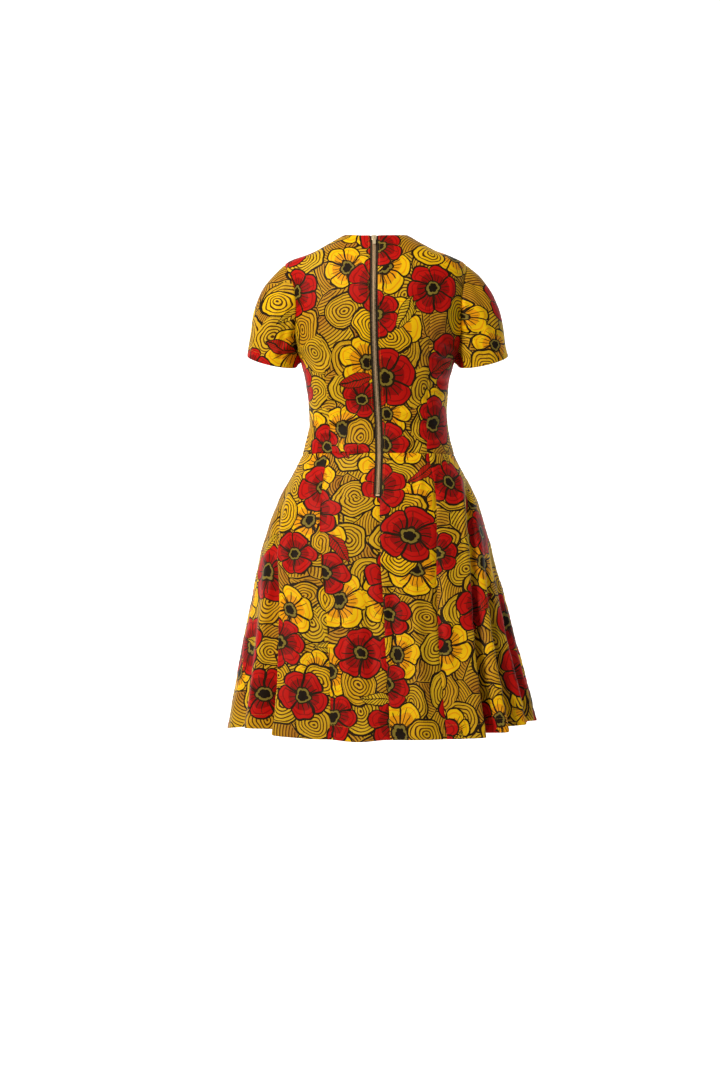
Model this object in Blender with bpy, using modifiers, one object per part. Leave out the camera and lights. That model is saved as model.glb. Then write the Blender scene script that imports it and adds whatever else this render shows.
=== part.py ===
"""Knee-length fit-and-flare dress in printed cotton, in the form it has when it is worn.

Metres, +Z up.  The front of the dress faces -Y and the wearer's left side is +X.  The origin
lies between the two shoulders, level with the highest point of the neck edge, where the
wearer carries the dress.  Every piece that is cut and sewn is one wall of cloth.

Two surfaces carry all the cloth pieces.  The bodice form is a stack of squared ovals, read by
an angle and a height.  The skirt form is the same kind of stack, read by a grain line, which
is named by the angle where it meets the hem, and by how far down the skirt a point lies.
Angles are 0 at the centre back, +90 degrees at the wearer's left side, -90 degrees at the
right side and 180 degrees at the centre front.
"""

import math

import bpy
import numpy as np
from mathutils import Matrix

OBJECT_NAME = "wax_print_dress"

# ---- cloth ----
CLOTH_WALL = 0.0013         # thickness of the cotton
SEAM_GAP = 0.0003           # clear space between two pieces that are sewn together
LEVEL_OUT = 0.012           # the walls' rims turn level over this height beside the waist seam
SQUARENESS = 0.10           # how far the ovals of both forms fill out between back and side

# ---- heights ----
NECK = 0.0                  # where the shoulder seam meets the neck edge
BACK_NECK_DROP = 0.008      # centre of the back neck edge, below the neck points
FRONT_NECK_DROP = 0.078     # centre of the front neck edge, below the neck points
SHOULDER_POINT = -0.0600    # outer end of the shoulder seam
UNDERARM = -0.258           # lowest point of the armhole
WAIST_SEAM = -0.449
HEM = -1.008
NECK_HALF_WIDTH = 0.0655
NECK_CENTRE_X = 0.0020      # the neck sits this far towards the left

BODICE_COLUMNS = ("height", "half_width", "centre_x", "back_depth", "front_depth")
BODICE_LEVELS = (
    (0.0000, 0.0655, 0.0020, 0.060, 0.056),     # neck point
    (-0.0310, 0.1205, -0.0006, 0.078, 0.066),
    (-0.0600, 0.1850, 0.0008, 0.091, 0.077),    # shoulder point
    (-0.0780, 0.1925, 0.0003, 0.097, 0.084),
    (-0.1050, 0.1930, -0.0006, 0.104, 0.095),
    (-0.1520, 0.1870, -0.0010, 0.110, 0.112),
    (-0.2000, 0.1785, -0.0020, 0.110, 0.125),
    (-0.2400, 0.1660, -0.0028, 0.106, 0.130),   # bust
    (-0.2620, 0.1565, -0.0030, 0.102, 0.128),
    (-0.3055, 0.1466, -0.0031, 0.095, 0.118),
    (-0.3588, 0.1415, -0.0041, 0.088, 0.105),   # narrowest
    (-0.3854, 0.1418, -0.0044, 0.088, 0.102),
    (-0.4100, 0.1456, -0.0042, 0.091, 0.103),
    (-0.4490, 0.1565, -0.0045, 0.101, 0.108),   # waist seam
)

SKIRT_COLUMNS = ("height", "half_width", "centre_x", "back_depth", "front_depth")
SKIRT_LEVELS = (
    (-0.4490, 0.1565, -0.0045, 0.101, 0.108),
    (-0.4592, 0.1605, -0.0043, 0.106, 0.110),
    (-0.4800, 0.1710, -0.0041, 0.1135, 0.114),
    (-0.5002, 0.1825, -0.0041, 0.122, 0.119),
    (-0.5412, 0.2030, -0.0036, 0.137, 0.131),
    (-0.5966, 0.2225, -0.0015, 0.152, 0.146),
    (-0.6540, 0.2380, -0.0009, 0.166, 0.161),
    (-0.7462, 0.2575, -0.0046, 0.188, 0.183),
    (-0.8282, 0.2735, -0.0067, 0.207, 0.202),
    (-0.9287, 0.2930, -0.0113, 0.229, 0.223),
    (-1.0080, 0.3080, -0.0133, 0.245, 0.238),
)

# One row for each grain line of the skirt that a seam, a fold's ridge or its trough follows:
# degrees at the hem, degrees at the waist, how far down the skirt the fold begins (0 waist,
# 1 hem), how far it stands out at the hem, and how far it leans towards larger angles there.
LINE_COLUMNS = ("hem_angle", "waist_angle", "start", "relief", "lean")
SKIRT_LINES = (
    (-180.0, -180.0, 0.30, -0.004, 0.000),      # centre front
    (-169.0, -160.0, 0.30, 0.006, 0.000),
    (-158.0, -139.0, 0.30, -0.010, 0.000),
    (-149.0, -124.0, 0.20, 0.012, 0.000),
    (-140.0, -110.0, 0.15, -0.024, 0.000),
    (-130.0, -101.0, 0.25, 0.012, 0.000),
    (-120.0, -97.0, 0.25, -0.020, 0.000),
    (-110.0, -95.0, 0.30, 0.012, 0.000),
    (-100.0, -92.0, 0.35, -0.014, 0.000),
    (-91.0, -90.0, 0.30, 0.012, 0.000),         # right side seam
    (-83.0, -88.5, 0.40, -0.010, 0.000),
    (-76.0, -87.0, 0.30, 0.010, 0.000),
    (-69.0, -85.5, 0.30, -0.016, 0.000),
    (-61.0, -84.0, 0.30, 0.012, -0.003),
    (-53.0, -81.5, 0.28, -0.020, 0.000),
    (-46.0, -78.0, 0.24, 0.016, -0.004),
    (-39.5, -73.0, 0.08, -0.036, 0.004),
    (-33.5, -64.0, 0.08, 0.016, -0.010),
    (-27.5, -50.0, 0.25, 0.004, 0.000),
    (-21.5, -37.5, 0.00, -0.002, 0.000),        # right gore seam
    (-12.0, -19.0, 0.30, 0.005, 0.000),
    (-2.0, 0.0, 0.00, -0.002, 0.000),           # centre back seam
    (8.0, 19.0, 0.30, 0.005, 0.000),
    (18.5, 38.5, 0.00, -0.002, 0.000),          # left gore seam
    (28.0, 55.0, 0.25, 0.006, 0.000),
    (37.0, 72.0, 0.10, 0.020, 0.010),
    (44.5, 79.0, 0.10, -0.040, -0.004),
    (56.0, 83.0, 0.25, 0.012, 0.000),
    (68.0, 85.5, 0.35, -0.014, 0.000),
    (79.0, 88.5, 0.40, 0.008, 0.000),
    (91.0, 90.0, 0.30, 0.010, 0.000),           # left side seam
    (104.0, 93.0, 0.30, -0.018, 0.000),
    (115.0, 95.0, 0.30, 0.012, 0.000),
    (126.0, 98.0, 0.25, -0.020, 0.000),
    (137.0, 104.0, 0.20, 0.012, 0.000),
    (147.0, 118.0, 0.15, -0.024, 0.000),
    (156.0, 136.0, 0.25, 0.010, 0.000),
    (168.0, 158.0, 0.30, -0.006, 0.000),
    (180.0, 180.0, 0.30, -0.004, 0.000),        # centre front again
)

# Stretches where the hem swings up or down: grain line of the middle, half the spread in
# degrees, and the height at the middle.
LIFT_COLUMNS = ("middle", "spread", "lift")
HEM_LIFTS = (
    (-72.0, 48.0, 0.022),
    (9.0, 11.0, -0.004),
    (57.0, 36.0, 0.014),
)
RIGHT_SIDE_LINE = -91.0
RIGHT_GORE_LINE = -21.5
CENTRE_BACK_LINE = -2.0
LEFT_GORE_LINE = 18.5
LEFT_SIDE_LINE = 91.0
STEPS_BETWEEN_LINES = 3     # columns of the skirt's grid from one line to the next
DRAW_IN = 2.2               # how fast a grain line swings from its waist angle to its hem angle

# ---- armhole and sleeve ----
BACK_ARMHOLE_SCOOP = {1.0: math.radians(30.0), -1.0: math.radians(25.0)}    # left, right
FRONT_ARMHOLE_SCOOP = math.radians(30.0)
ARMHOLE_LEAN = 0.40         # the back armhole is scooped more in its upper half
ARMHOLE_STEPS = 9           # rows from the underarm to the shoulder point
CUFF_CENTRE = (0.2163, 0.000, -0.2570)
BODY_LEAN = -0.003          # both cuffs lie this far towards the right
SLEEVE_GAP = 0.00045        # start of the sleeve, off the armhole's edge
CUFF_TILT = math.radians(12.4)
CUFF_HALF_WIDTH = 0.0525
CUFF_HALF_DEPTH = 0.0540
CUFF_BACK_DROP = 0.0135     # the sleeve's hem hangs lower behind the arm
CUFF_FRONT_RISE = 0.0040
SLEEVE_STEPS = 6
CAP_LIFT = 0.80             # how far the sleeve's cap leans outwards where it leaves the shoulder
CAP_ROUND = 0.20            # and backwards and forwards where it leaves the back and the front
START_FULLNESS = 1.45       # length of the sleeve's tangent at the armhole, over its distance
END_FULLNESS = 1.00         # and at the cuff

# ---- bust shaping from the darts ----
BUST_FULLNESS = 0.010
BUST_ANGLE = math.radians(142.0)
BUST_ANGLE_SPREAD = math.radians(24.0)
BUST_HEIGHT = -0.235
BUST_HEIGHT_SPREAD = 0.055

# ---- zip ----
ZIP_END = -0.536
ZIP_COLUMNS = ("height", "across")
ZIP_LINE = (                # the zip bows with the back: across the body at its heights
    (0.000, 0.0044),
    (-0.060, 0.0050),
    (-0.150, 0.0058),
    (-0.210, 0.0050),
    (-0.260, 0.0031),
    (-0.310, 0.0005),
    (-0.360, -0.0025),
    (-0.410, -0.0048),
    (-0.449, -0.0052),
    (-0.490, -0.0038),
    (-0.536, -0.0020),
)
ZIP_WINDOW = 0.0082         # half the width that the folded edges leave open
TAPE_HALF_WIDTH = 0.0150
TAPE_SINK = 0.0018          # outer face of the tape, below the outer face of the cloth
TAPE_WALL = 0.0010
CHAIN_HALF_WIDTH = 0.0038
CHAIN_RISE = 0.0010         # outer face of the chain, above the outer face of the cloth
TAPE_END = -0.5398          # the tapes run on under the closed seam
SLIDER_START = -0.0090
SLIDER_LENGTH = 0.0125
SLIDER_SINK = -0.0014       # underside of the slider, from the outer face of the cloth
SLIDER_WIDTH = 0.0108
SLIDER_HEIGHT = 0.0034
SLIDER_ROUNDING = 0.0009
STOP_LENGTH = 0.0034
BRIDGE_WIDTH = 0.0022
BRIDGE_LENGTH = 0.0072
BRIDGE_RISE = 0.0030
BRIDGE_BAR = 0.0009
BRIDGE_POST = 0.0012
BRIDGE_ROOT = 0.0003        # how deep the bridge is set into the slider's body
BRIDGE_ROUNDING = 0.0004
PULL_PIN_RISE = 0.0011      # the pull tab's pin, above the slider's top face
PULL_LENGTH = 0.0190
PULL_WIDTH = 0.0064
PULL_EYE_WIDTH = 0.0034
PULL_EYE_LENGTH = 0.0048
PULL_THICKNESS = 0.0012
PULL_ROUNDING = 0.0003
TAPE_TOP_DROP = 0.0002      # top of the tapes, below the neck edge

# ---- grids of the cloth pieces ----
BODICE_ROWS_BELOW_ARMHOLE = 8
NECK_SPACING = 0.55         # columns crowd towards the sides of the front neck edge
WIDEN_BELOW_ZIP = 0.001     # the skirt's edges stay folded back this far below the zip's end
ARMHOLE_MIDDLE_X = 0.170
SHOULDER_ROWS = 3
HALF_BACK_COLUMNS = 9
HALF_FRONT_COLUMNS = 9
SKIRT_ROWS = (
    0.0, 0.025, 0.06, 0.105, 0.155, 0.1625, 0.21, 0.28, 0.37, 0.47, 0.58, 0.69, 0.80, 0.90, 1.0,
)                           # parts of the way from the waist seam to the hem


# ---------------------------------------------------------------- reading the tables

def column(names, rows, name):
    """One named column of a table."""
    return np.array([row[names.index(name)] for row in rows])


def smooth_through(knots, values, at):
    """Monotone cubic through the points (knots, values), read at each entry of `at`.

    The slope at an inner knot is the weighted harmonic mean of the slopes on its two sides,
    or zero where they differ in sign, so the curve never overshoots its knots.
    """
    order = np.argsort(knots)
    x = np.asarray(knots, float)[order]
    y = np.asarray(values, float)[order]
    step = np.diff(x)
    slope = np.diff(y) / step
    before, after = slope[:-1], slope[1:]
    near, far = 2.0 * step[1:] + step[:-1], step[1:] + 2.0 * step[:-1]
    rising = before * after > 0.0
    safe_before, safe_after = np.where(rising, before, 1.0), np.where(rising, after, 1.0)
    inner = np.where(rising, (near + far) / (near / safe_before + far / safe_after), 0.0)
    tangent = np.concatenate([slope[:1], inner, slope[-1:]])
    at = np.clip(at, x[0], x[-1])
    k = np.clip(np.searchsorted(x, at) - 1, 0, len(step) - 1)
    t = (at - x[k]) / step[k]
    return (
        y[k] * (1 + 2 * t) * (1 - t) ** 2
        + tangent[k] * step[k] * t * (1 - t) ** 2
        + y[k + 1] * t * t * (3 - 2 * t)
        + tangent[k + 1] * step[k] * t * t * (t - 1)
    )


def oval(names, rows, angle, height):
    """Point of a squared oval: its sizes come from the table, at the given height."""
    knots = column(names, rows, "height")
    size = {name: smooth_through(knots, column(names, rows, name), height) for name in names[1:]}
    sine, cosine = np.sin(angle), np.cos(angle)
    depth = np.where(cosine > 0.0, size["back_depth"], size["front_depth"])
    x = size["centre_x"] + size["half_width"] * sine * (1.0 + SQUARENESS * cosine**2)
    y = depth * cosine * (1.0 + SQUARENESS * sine**2)
    return np.stack([x, y, height + 0.0 * x], axis=-1)


# ---------------------------------------------------------------- the two forms

def bodice_point(angle, height):
    """Point of the bodice's outer face: the oval, with the bust darts' fullness in front."""
    angle, height = np.broadcast_arrays(np.asarray(angle, float), np.asarray(height, float))
    point = oval(BODICE_COLUMNS, BODICE_LEVELS, angle, height)
    across = (np.abs(angle) - BUST_ANGLE) / BUST_ANGLE_SPREAD
    along = (height - BUST_HEIGHT) / BUST_HEIGHT_SPREAD
    fullness = BUST_FULLNESS * np.exp(-(across**2) - along**2)
    point[..., 1] -= fullness
    return point


def fold_state(line, fall):
    """How far the skirt stands out and leans at a grain line, a given part of the way down.

    Between two rows of SKIRT_LINES both values ease from one to the next by half a cosine.
    Each row's own values grow from nothing at its start to the full value at the hem.
    """
    hems = column(LINE_COLUMNS, SKIRT_LINES, "hem_angle")
    starts = column(LINE_COLUMNS, SKIRT_LINES, "start")
    k = np.clip(np.searchsorted(hems, line) - 1, 0, len(hems) - 2)
    ease = 0.5 - 0.5 * np.cos(np.pi * (line - hems[k]) / (hems[k + 1] - hems[k]))
    state = []
    for name in ("relief", "lean"):
        full = column(LINE_COLUMNS, SKIRT_LINES, name)
        left = full[k] * grown(fall, starts[k])
        right = full[k + 1] * grown(fall, starts[k + 1])
        state.append(left + (right - left) * ease)
    return state


def grown(fall, start):
    """Share of a fold's full size: zero above its start, one at the hem, smooth between."""
    part = np.clip((fall - start) / (1.0 - start), 0.0, 1.0)
    return part * part * (3.0 - 2.0 * part) * 0.5 + part * 0.5


def hem_lift(line):
    """How far the hem swings up at a grain line: the sum of smooth swells."""
    height = 0.0 * line
    for row in HEM_LIFTS:
        swing = dict(zip(LIFT_COLUMNS, row))
        near = np.clip(1.0 - np.abs((line - swing["middle"]) / swing["spread"]), 0.0, 1.0)
        height = height + swing["lift"] * np.sin(0.5 * np.pi * near) ** 2
    return height


def skirt_point(line, fall):
    """Point of the skirt's outer face on a grain line (degrees), `fall` of the way down."""
    line, fall = np.broadcast_arrays(np.asarray(line, float), np.asarray(fall, float))
    line = (line + 180.0) % 360.0 - 180.0
    height = WAIST_SEAM + fall * (HEM + hem_lift(line) - WAIST_SEAM)
    hems = column(LINE_COLUMNS, SKIRT_LINES, "hem_angle")
    waists = column(LINE_COLUMNS, SKIRT_LINES, "waist_angle")
    at_waist = smooth_through(hems, waists, line)
    still_above = np.clip(1.0 - fall, 0.0, 1.0)
    angle = np.radians(line + (at_waist - line) * still_above**DRAW_IN)
    point = oval(SKIRT_COLUMNS, SKIRT_LEVELS, angle, height)
    turned = oval(SKIRT_COLUMNS, SKIRT_LEVELS, angle + 0.001, height)
    along = unit(turned - point)
    out = np.stack([-along[..., 1], along[..., 0], 0.0 * fall], axis=-1)
    relief, lean = fold_state(line, fall)
    return point + out * relief[..., None] + along * lean[..., None]


def unit(vectors):
    """The same vectors, one unit long."""
    return vectors / np.linalg.norm(vectors, axis=-1, keepdims=True)


def outward(surface, across, down, across_step, down_step):
    """Outward normal of a surface, from its slopes across and downwards."""
    slope_across = surface(across + across_step, down) - surface(across - across_step, down)
    slope_down = surface(across, down + down_step) - surface(across, down - down_step)
    return unit(np.cross(slope_across, slope_down))


def bodice_outward(angle, height):
    """Outward normal of the bodice form, level along the waist seam."""
    normal = outward(bodice_point, angle, height, 0.002, -0.0005)
    normal[..., 2] *= np.clip((height - WAIST_SEAM) / LEVEL_OUT - 0.1, 0.0, 1.0)
    return unit(normal)


def skirt_outward(line, fall):
    """Outward normal of the skirt form, level along the waist seam."""
    normal = outward(skirt_point, line, fall, 0.05, 0.002)
    normal[..., 2] *= np.clip(fall * (WAIST_SEAM - HEM) / LEVEL_OUT - 0.1, 0.0, 1.0)
    return unit(normal)


def angle_at_x(x, height):
    """Angle on the back of the bodice form at a place across and a height."""
    knots = column(BODICE_COLUMNS, BODICE_LEVELS, "height")
    centre = smooth_through(knots, column(BODICE_COLUMNS, BODICE_LEVELS, "centre_x"), height)
    half = smooth_through(knots, column(BODICE_COLUMNS, BODICE_LEVELS, "half_width"), height)
    sine = (x - centre) / half
    for _ in range(8):
        sine = (x - centre) / (half * (1.0 + SQUARENESS * (1.0 - sine**2)))
    return np.arcsin(np.clip(sine, -1.0, 1.0))


def line_at_x(x, fall):
    """Grain line of the skirt at a place across the centre back, found by halving."""
    low, high = np.full(np.shape(fall), -20.0), np.full(np.shape(fall), 17.0)
    for _ in range(40):
        middle = 0.5 * (low + high)
        beyond = skirt_point(middle, fall)[..., 0] > x
        high, low = np.where(beyond, middle, high), np.where(beyond, low, middle)
    return 0.5 * (low + high)


# ---------------------------------------------------------------- walls of cloth

def cloth_wall(name, outer, inner, material, round_tube=False):
    """One closed wall lofted between an outer and an inner grid of points.

    Both grids have rows downwards and columns across.  Rims join them all round, so two
    walls that share a seam line keep the seam's gap through their whole thickness.  A round
    tube has its last column joined to its first, and rims only at its top and bottom.
    """
    rows, columns = outer.shape[:2]
    number = np.arange(rows * columns).reshape(rows, columns)
    right = np.roll(number, -1, axis=1)
    across = range(columns if round_tube else columns - 1)
    behind = rows * columns
    faces = []
    for row in range(rows - 1):
        for k in across:
            quad = (number[row, k], right[row, k], right[row + 1, k], number[row + 1, k])
            faces.append(quad)
            faces.append(tuple(corner + behind for corner in reversed(quad)))
    rim = [(number[0, k], right[0, k]) for k in across]
    rim += [(right[-1, k], number[-1, k]) for k in across]
    if not round_tube:
        rim += [(number[row + 1, 0], number[row, 0]) for row in range(rows - 1)]
        rim += [(number[row, -1], number[row + 1, -1]) for row in range(rows - 1)]
    faces += [(b, a, a + behind, b + behind) for a, b in rim]
    mesh = bpy.data.meshes.new(name)
    points = np.concatenate([outer.reshape(-1, 3), inner.reshape(-1, 3)])
    mesh.from_pydata(points.tolist(), [], [[int(corner) for corner in face] for face in faces])
    mesh.shade_smooth()
    mesh.set_sharp_from_angle(angle=math.radians(50.0))
    return add_piece(name, mesh, material)


def add_piece(name, mesh, material):
    """Put a mesh into the dress as one named piece with its material."""
    piece = bpy.data.objects.new(name, mesh)
    piece.data.materials.append(material)
    bpy.data.collections[OBJECT_NAME].objects.link(piece)
    return piece


def panel(name, outer, normal, material, trim_first=True, trim_last=True):
    """A cut piece: its outer grid, a wall inwards, and half a seam gap off its side edges."""
    inner = outer - CLOTH_WALL * normal
    for edge, beside, wanted in ((0, 1, trim_first), (-1, -2, trim_last)):
        if wanted:
            move = unit(outer[:, beside] - outer[:, edge]) * 0.5 * SEAM_GAP
            outer[:, edge] += move
            inner[:, edge] += move
    return cloth_wall(name, outer, inner, material)


# ---------------------------------------------------------------- bodice

def bodice_rows():
    """Rows of the bodice from its neck down: height at the side, and turn of the armhole.

    The rows of the armhole are spaced like points on a circle, so that its edge turns evenly.
    """
    shoulder = np.linspace(NECK, SHOULDER_POINT, SHOULDER_ROWS + 1)[:-1]
    turn = np.linspace(0.0, np.pi, ARMHOLE_STEPS + 1)
    side = np.linspace(UNDERARM, WAIST_SEAM + 0.5 * SEAM_GAP, BODICE_ROWS_BELOW_ARMHOLE + 1)[1:]
    height = np.concatenate([shoulder, armhole_height(turn), side])
    turns = np.concatenate([0.0 * shoulder, turn, 0.0 * side])
    return height, turns


def armhole_height(turn):
    """Height of the armhole's edge; turn 0 is the shoulder point, pi the underarm."""
    return 0.5 * (SHOULDER_POINT + UNDERARM) + 0.5 * (SHOULDER_POINT - UNDERARM) * np.cos(turn)


def back_scoop(turn, side):
    """Angle by which the armhole cuts into the back, more at the left than at the right."""
    return BACK_ARMHOLE_SCOOP[side] * np.sin(turn) * (1.0 + ARMHOLE_LEAN * np.cos(turn))


def front_scoop(turn):
    """Angle by which the armhole cuts into the front."""
    return FRONT_ARMHOLE_SCOOP * np.sin(turn)


def above_shoulder(height):
    """Share of the way from the shoulder point up to the neck point."""
    return np.clip((height - SHOULDER_POINT) / (NECK - SHOULDER_POINT), 0.0, 1.0)


def zip_x(height):
    """Place across of the zip's middle at a height."""
    knots = column(ZIP_COLUMNS, ZIP_LINE, "height")
    return smooth_through(knots, column(ZIP_COLUMNS, ZIP_LINE, "across"), height)


def back_bodice(name, side, material):
    """Half of the back: from the zip's folded edge round to the side seam and armhole."""
    height, turn = bodice_rows()
    centre_height = height - BACK_NECK_DROP * above_shoulder(height)
    inner_edge = np.abs(angle_at_x(zip_x(centre_height) + side * ZIP_WINDOW, centre_height))
    outer_edge = 0.5 * np.pi - back_scoop(turn, side)
    share = np.linspace(0.0, 1.0, HALF_BACK_COLUMNS + 1)
    angle = inner_edge[:, None] + (outer_edge - inner_edge)[:, None] * share
    drop = BACK_NECK_DROP * above_shoulder(height)[:, None] * np.cos(angle) ** 2
    level = height[:, None] - drop
    if side < 0.0:
        angle, level = -angle[:, ::-1], level[:, ::-1]
    outer, normal = bodice_point(angle, level), bodice_outward(angle, level)
    return panel(name, outer, normal, material, trim_first=side < 0.0, trim_last=side > 0.0)


def front_bodice(name, material):
    """The front in one piece: shoulder and side seams, armholes, and the round neck edge.

    A row runs from its point on the side edge to its point on the centre front.  Low rows are
    evenly spaced and level, high rows take the spacing and the dip of the neck edge.
    """
    height, turn = bodice_rows()
    side_angle = 0.5 * np.pi + front_scoop(turn)
    rise = (height - WAIST_SEAM) / (NECK - WAIST_SEAM)
    centre_height = height - FRONT_NECK_DROP * rise
    share = np.linspace(0.0, 1.0, HALF_FRONT_COLUMNS + 1)
    turn_in = 0.5 * np.pi * share**NECK_SPACING
    neck_height = -FRONT_NECK_DROP * np.cos(turn_in)
    neck_angle = np.pi - angle_at_x(NECK_CENTRE_X + NECK_HALF_WIDTH * np.sin(turn_in), neck_height)
    neck_share = (neck_angle - 0.5 * np.pi) / (0.5 * np.pi)
    like_neck = (rise**3)[:, None]
    spacing = (1.0 - like_neck) * (1.0 - share) + like_neck * neck_share
    dip = (1.0 - like_neck) * (1.0 - share) + like_neck * np.cos(turn_in)
    angle = side_angle[:, None] + (np.pi - side_angle)[:, None] * spacing
    level = height[:, None] + (centre_height - height)[:, None] * dip
    angle = np.concatenate([angle[:, ::-1], 2.0 * np.pi - angle[:, 1:]], axis=1)
    level = np.concatenate([level[:, ::-1], level[:, 1:]], axis=1)
    return panel(name, bodice_point(angle, level), bodice_outward(angle, level), material)


# ---------------------------------------------------------------- sleeves

def sleeve_start(turn, side):
    """Where a sleeve starts at a turn of the armhole, and the direction in which it leaves.

    Turn 0 is the shoulder point, pi the underarm, and the back lies between them.  The sleeve
    starts a seam's gap beyond the armhole's edge at the shoulder and outside it at the
    underarm.  It leaves towards its cuff, with the cap leaning outwards.
    """
    behind = turn <= np.pi
    half_turn = np.where(behind, turn, 2.0 * np.pi - turn)
    scoop = np.where(behind, -back_scoop(half_turn, side), front_scoop(half_turn))
    angle = side * (0.5 * np.pi + scoop)
    height = armhole_height(half_turn)
    edge, normal = bodice_point(angle, height), bodice_outward(angle, height)
    on = half_turn + 0.01
    next_scoop = np.where(behind, -back_scoop(on, side), front_scoop(on))
    next_edge = bodice_point(side * (0.5 * np.pi + next_scoop), armhole_height(on))
    onward = unit(np.cross(normal, next_edge - edge))
    middle = np.array([side * ARMHOLE_MIDDLE_X, 0.0, 0.5 * (SHOULDER_POINT + UNDERARM)])
    towards = np.sum(onward * (middle - edge), axis=-1, keepdims=True)
    onward = onward * np.where(towards < 0.0, -1.0, 1.0)
    under = (np.abs(np.sin(0.5 * half_turn)) ** 1.6)[..., None]
    straight = unit(cuff_point(turn, side) - edge)
    lift = np.stack([
        side * CAP_LIFT * np.clip(np.cos(turn), 0.0, 1.0), CAP_ROUND * np.sin(turn), 0.0 * turn
    ], axis=-1)
    leave = unit(straight + lift)
    start = edge + unit(onward * (1.0 - under) + normal * under) * SLEEVE_GAP
    return start, leave


def cuff_point(turn, side):
    """Point of the sleeve's hem: a tilted oval that hangs lower behind the arm."""
    across = CUFF_HALF_WIDTH * np.cos(turn)
    deep = CUFF_HALF_DEPTH * np.sin(turn)
    droop = np.where(deep > 0.0, CUFF_BACK_DROP, CUFF_FRONT_RISE) * np.sin(turn)
    x = side * (CUFF_CENTRE[0] + across * math.cos(CUFF_TILT)) + BODY_LEAN
    z = CUFF_CENTRE[2] + across * math.sin(CUFF_TILT) - droop
    return np.stack([x, CUFF_CENTRE[1] + deep, z], axis=-1)


def sleeve_point(turn, part, side):
    """Point of a sleeve: a cubic from the armhole to the cuff, which leaves the armhole in
    the armhole's own direction and arrives along the arm."""
    start, leave = sleeve_start(turn, side)
    end = cuff_point(turn, side)
    arrive = np.array([side * math.sin(CUFF_TILT), 0.0, -math.cos(CUFF_TILT)])
    length = np.linalg.norm(end - start, axis=-1, keepdims=True)
    part = np.asarray(part, float)[..., None]
    return (
        start * (1 + 2 * part) * (1 - part) ** 2
        + leave * length * START_FULLNESS * part * (1 - part) ** 2
        + end * part * part * (3 - 2 * part)
        + arrive * length * END_FULLNESS * part * part * (part - 1)
    )


def sleeve(name, side, material):
    """A set-in short sleeve: one wall round the arm, from the armhole to its hem."""
    turn = np.linspace(0.0, 2.0 * np.pi, 2 * ARMHOLE_STEPS + 1)[:-1]
    part = np.linspace(0.0, 1.0, SLEEVE_STEPS + 1)
    turn, part = np.meshgrid(turn[:: -1 if side > 0.0 else 1], part)
    outer = sleeve_point(turn, part, side)
    round_slope = sleeve_point(turn + 0.01, part, side) - sleeve_point(turn - 0.01, part, side)
    down_slope = sleeve_point(turn, part + 0.01, side) - sleeve_point(turn, part - 0.01, side)
    normal = unit(np.cross(down_slope, round_slope)) * side
    return cloth_wall(name, outer, outer - CLOTH_WALL * normal, material, round_tube=True)


# ---------------------------------------------------------------- skirt

def skirt_columns(first_line, last_line):
    """Grain lines of a skirt piece's columns, from one seam line to another."""
    hems = column(LINE_COLUMNS, SKIRT_LINES, "hem_angle")
    rows = hems[(hems >= first_line) & (hems <= last_line)]
    between = np.linspace(0.0, 1.0, STEPS_BETWEEN_LINES + 1)[:-1]
    lines = (rows[:-1, None] + np.diff(rows)[:, None] * between).ravel()
    return np.append(lines, rows[-1])


def skirt_fall():
    """Rows of the skirt, as parts of the way down; the first lies half a gap below the seam."""
    fall = np.array(SKIRT_ROWS)
    fall[0] = 0.5 * SEAM_GAP / (WAIST_SEAM - HEM)
    return fall


def skirt_panel(name, line, fall, material):
    """A skirt piece from its grid of grain lines and rows."""
    fall = np.broadcast_to(fall[:, None], line.shape)
    return panel(name, skirt_point(line, fall), skirt_outward(line, fall), material)


def side_back_skirt(name, first_line, last_line, material):
    """A back side piece of the skirt, between its two seam lines."""
    fall = skirt_fall()
    line = np.tile(skirt_columns(first_line, last_line), (len(fall), 1))
    return skirt_panel(name, line, fall, material)


def front_skirt(name, material):
    """The front of the skirt in one piece, from the left side seam round to the right one."""
    fall = skirt_fall()
    left = skirt_columns(LEFT_SIDE_LINE, 180.0)
    right = skirt_columns(-180.0, RIGHT_SIDE_LINE)[1:] + 360.0
    return skirt_panel(name, np.tile(np.append(left, right), (len(fall), 1)), fall, material)


def centre_back_skirt(name, side, material):
    """A back centre piece: its edge is folded back along the zip, then follows the seam."""
    fall = skirt_fall()
    height = WAIST_SEAM + fall * (HEM - WAIST_SEAM)
    gore_line = LEFT_GORE_LINE if side > 0.0 else RIGHT_GORE_LINE
    beside_zip = line_at_x(zip_x(height) + side * (ZIP_WINDOW - 0.5 * SEAM_GAP), fall)
    open_rows = height > ZIP_END - WIDEN_BELOW_ZIP
    edge = np.where(open_rows, beside_zip, CENTRE_BACK_LINE)
    whole = skirt_columns(min(CENTRE_BACK_LINE, gore_line), max(CENTRE_BACK_LINE, gore_line))
    share = (whole - gore_line) / (CENTRE_BACK_LINE - gore_line)
    line = gore_line + (edge - gore_line)[:, None] * share
    return skirt_panel(name, line, fall, material)


# ---------------------------------------------------------------- zip

def back_at(x, height):
    """Outer point and outward normal of the dress's back at a place across and a height."""
    angle = angle_at_x(x, height)
    fall = np.clip((WAIST_SEAM - height) / (WAIST_SEAM - HEM), 0.0, 1.0)
    line = line_at_x(x, fall)
    above = (height > WAIST_SEAM)[..., None]
    point = np.where(above, bodice_point(angle, height), skirt_point(line, fall))
    normal = np.where(above, bodice_outward(angle, height), skirt_outward(line, fall))
    return point, unit(normal)


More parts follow.
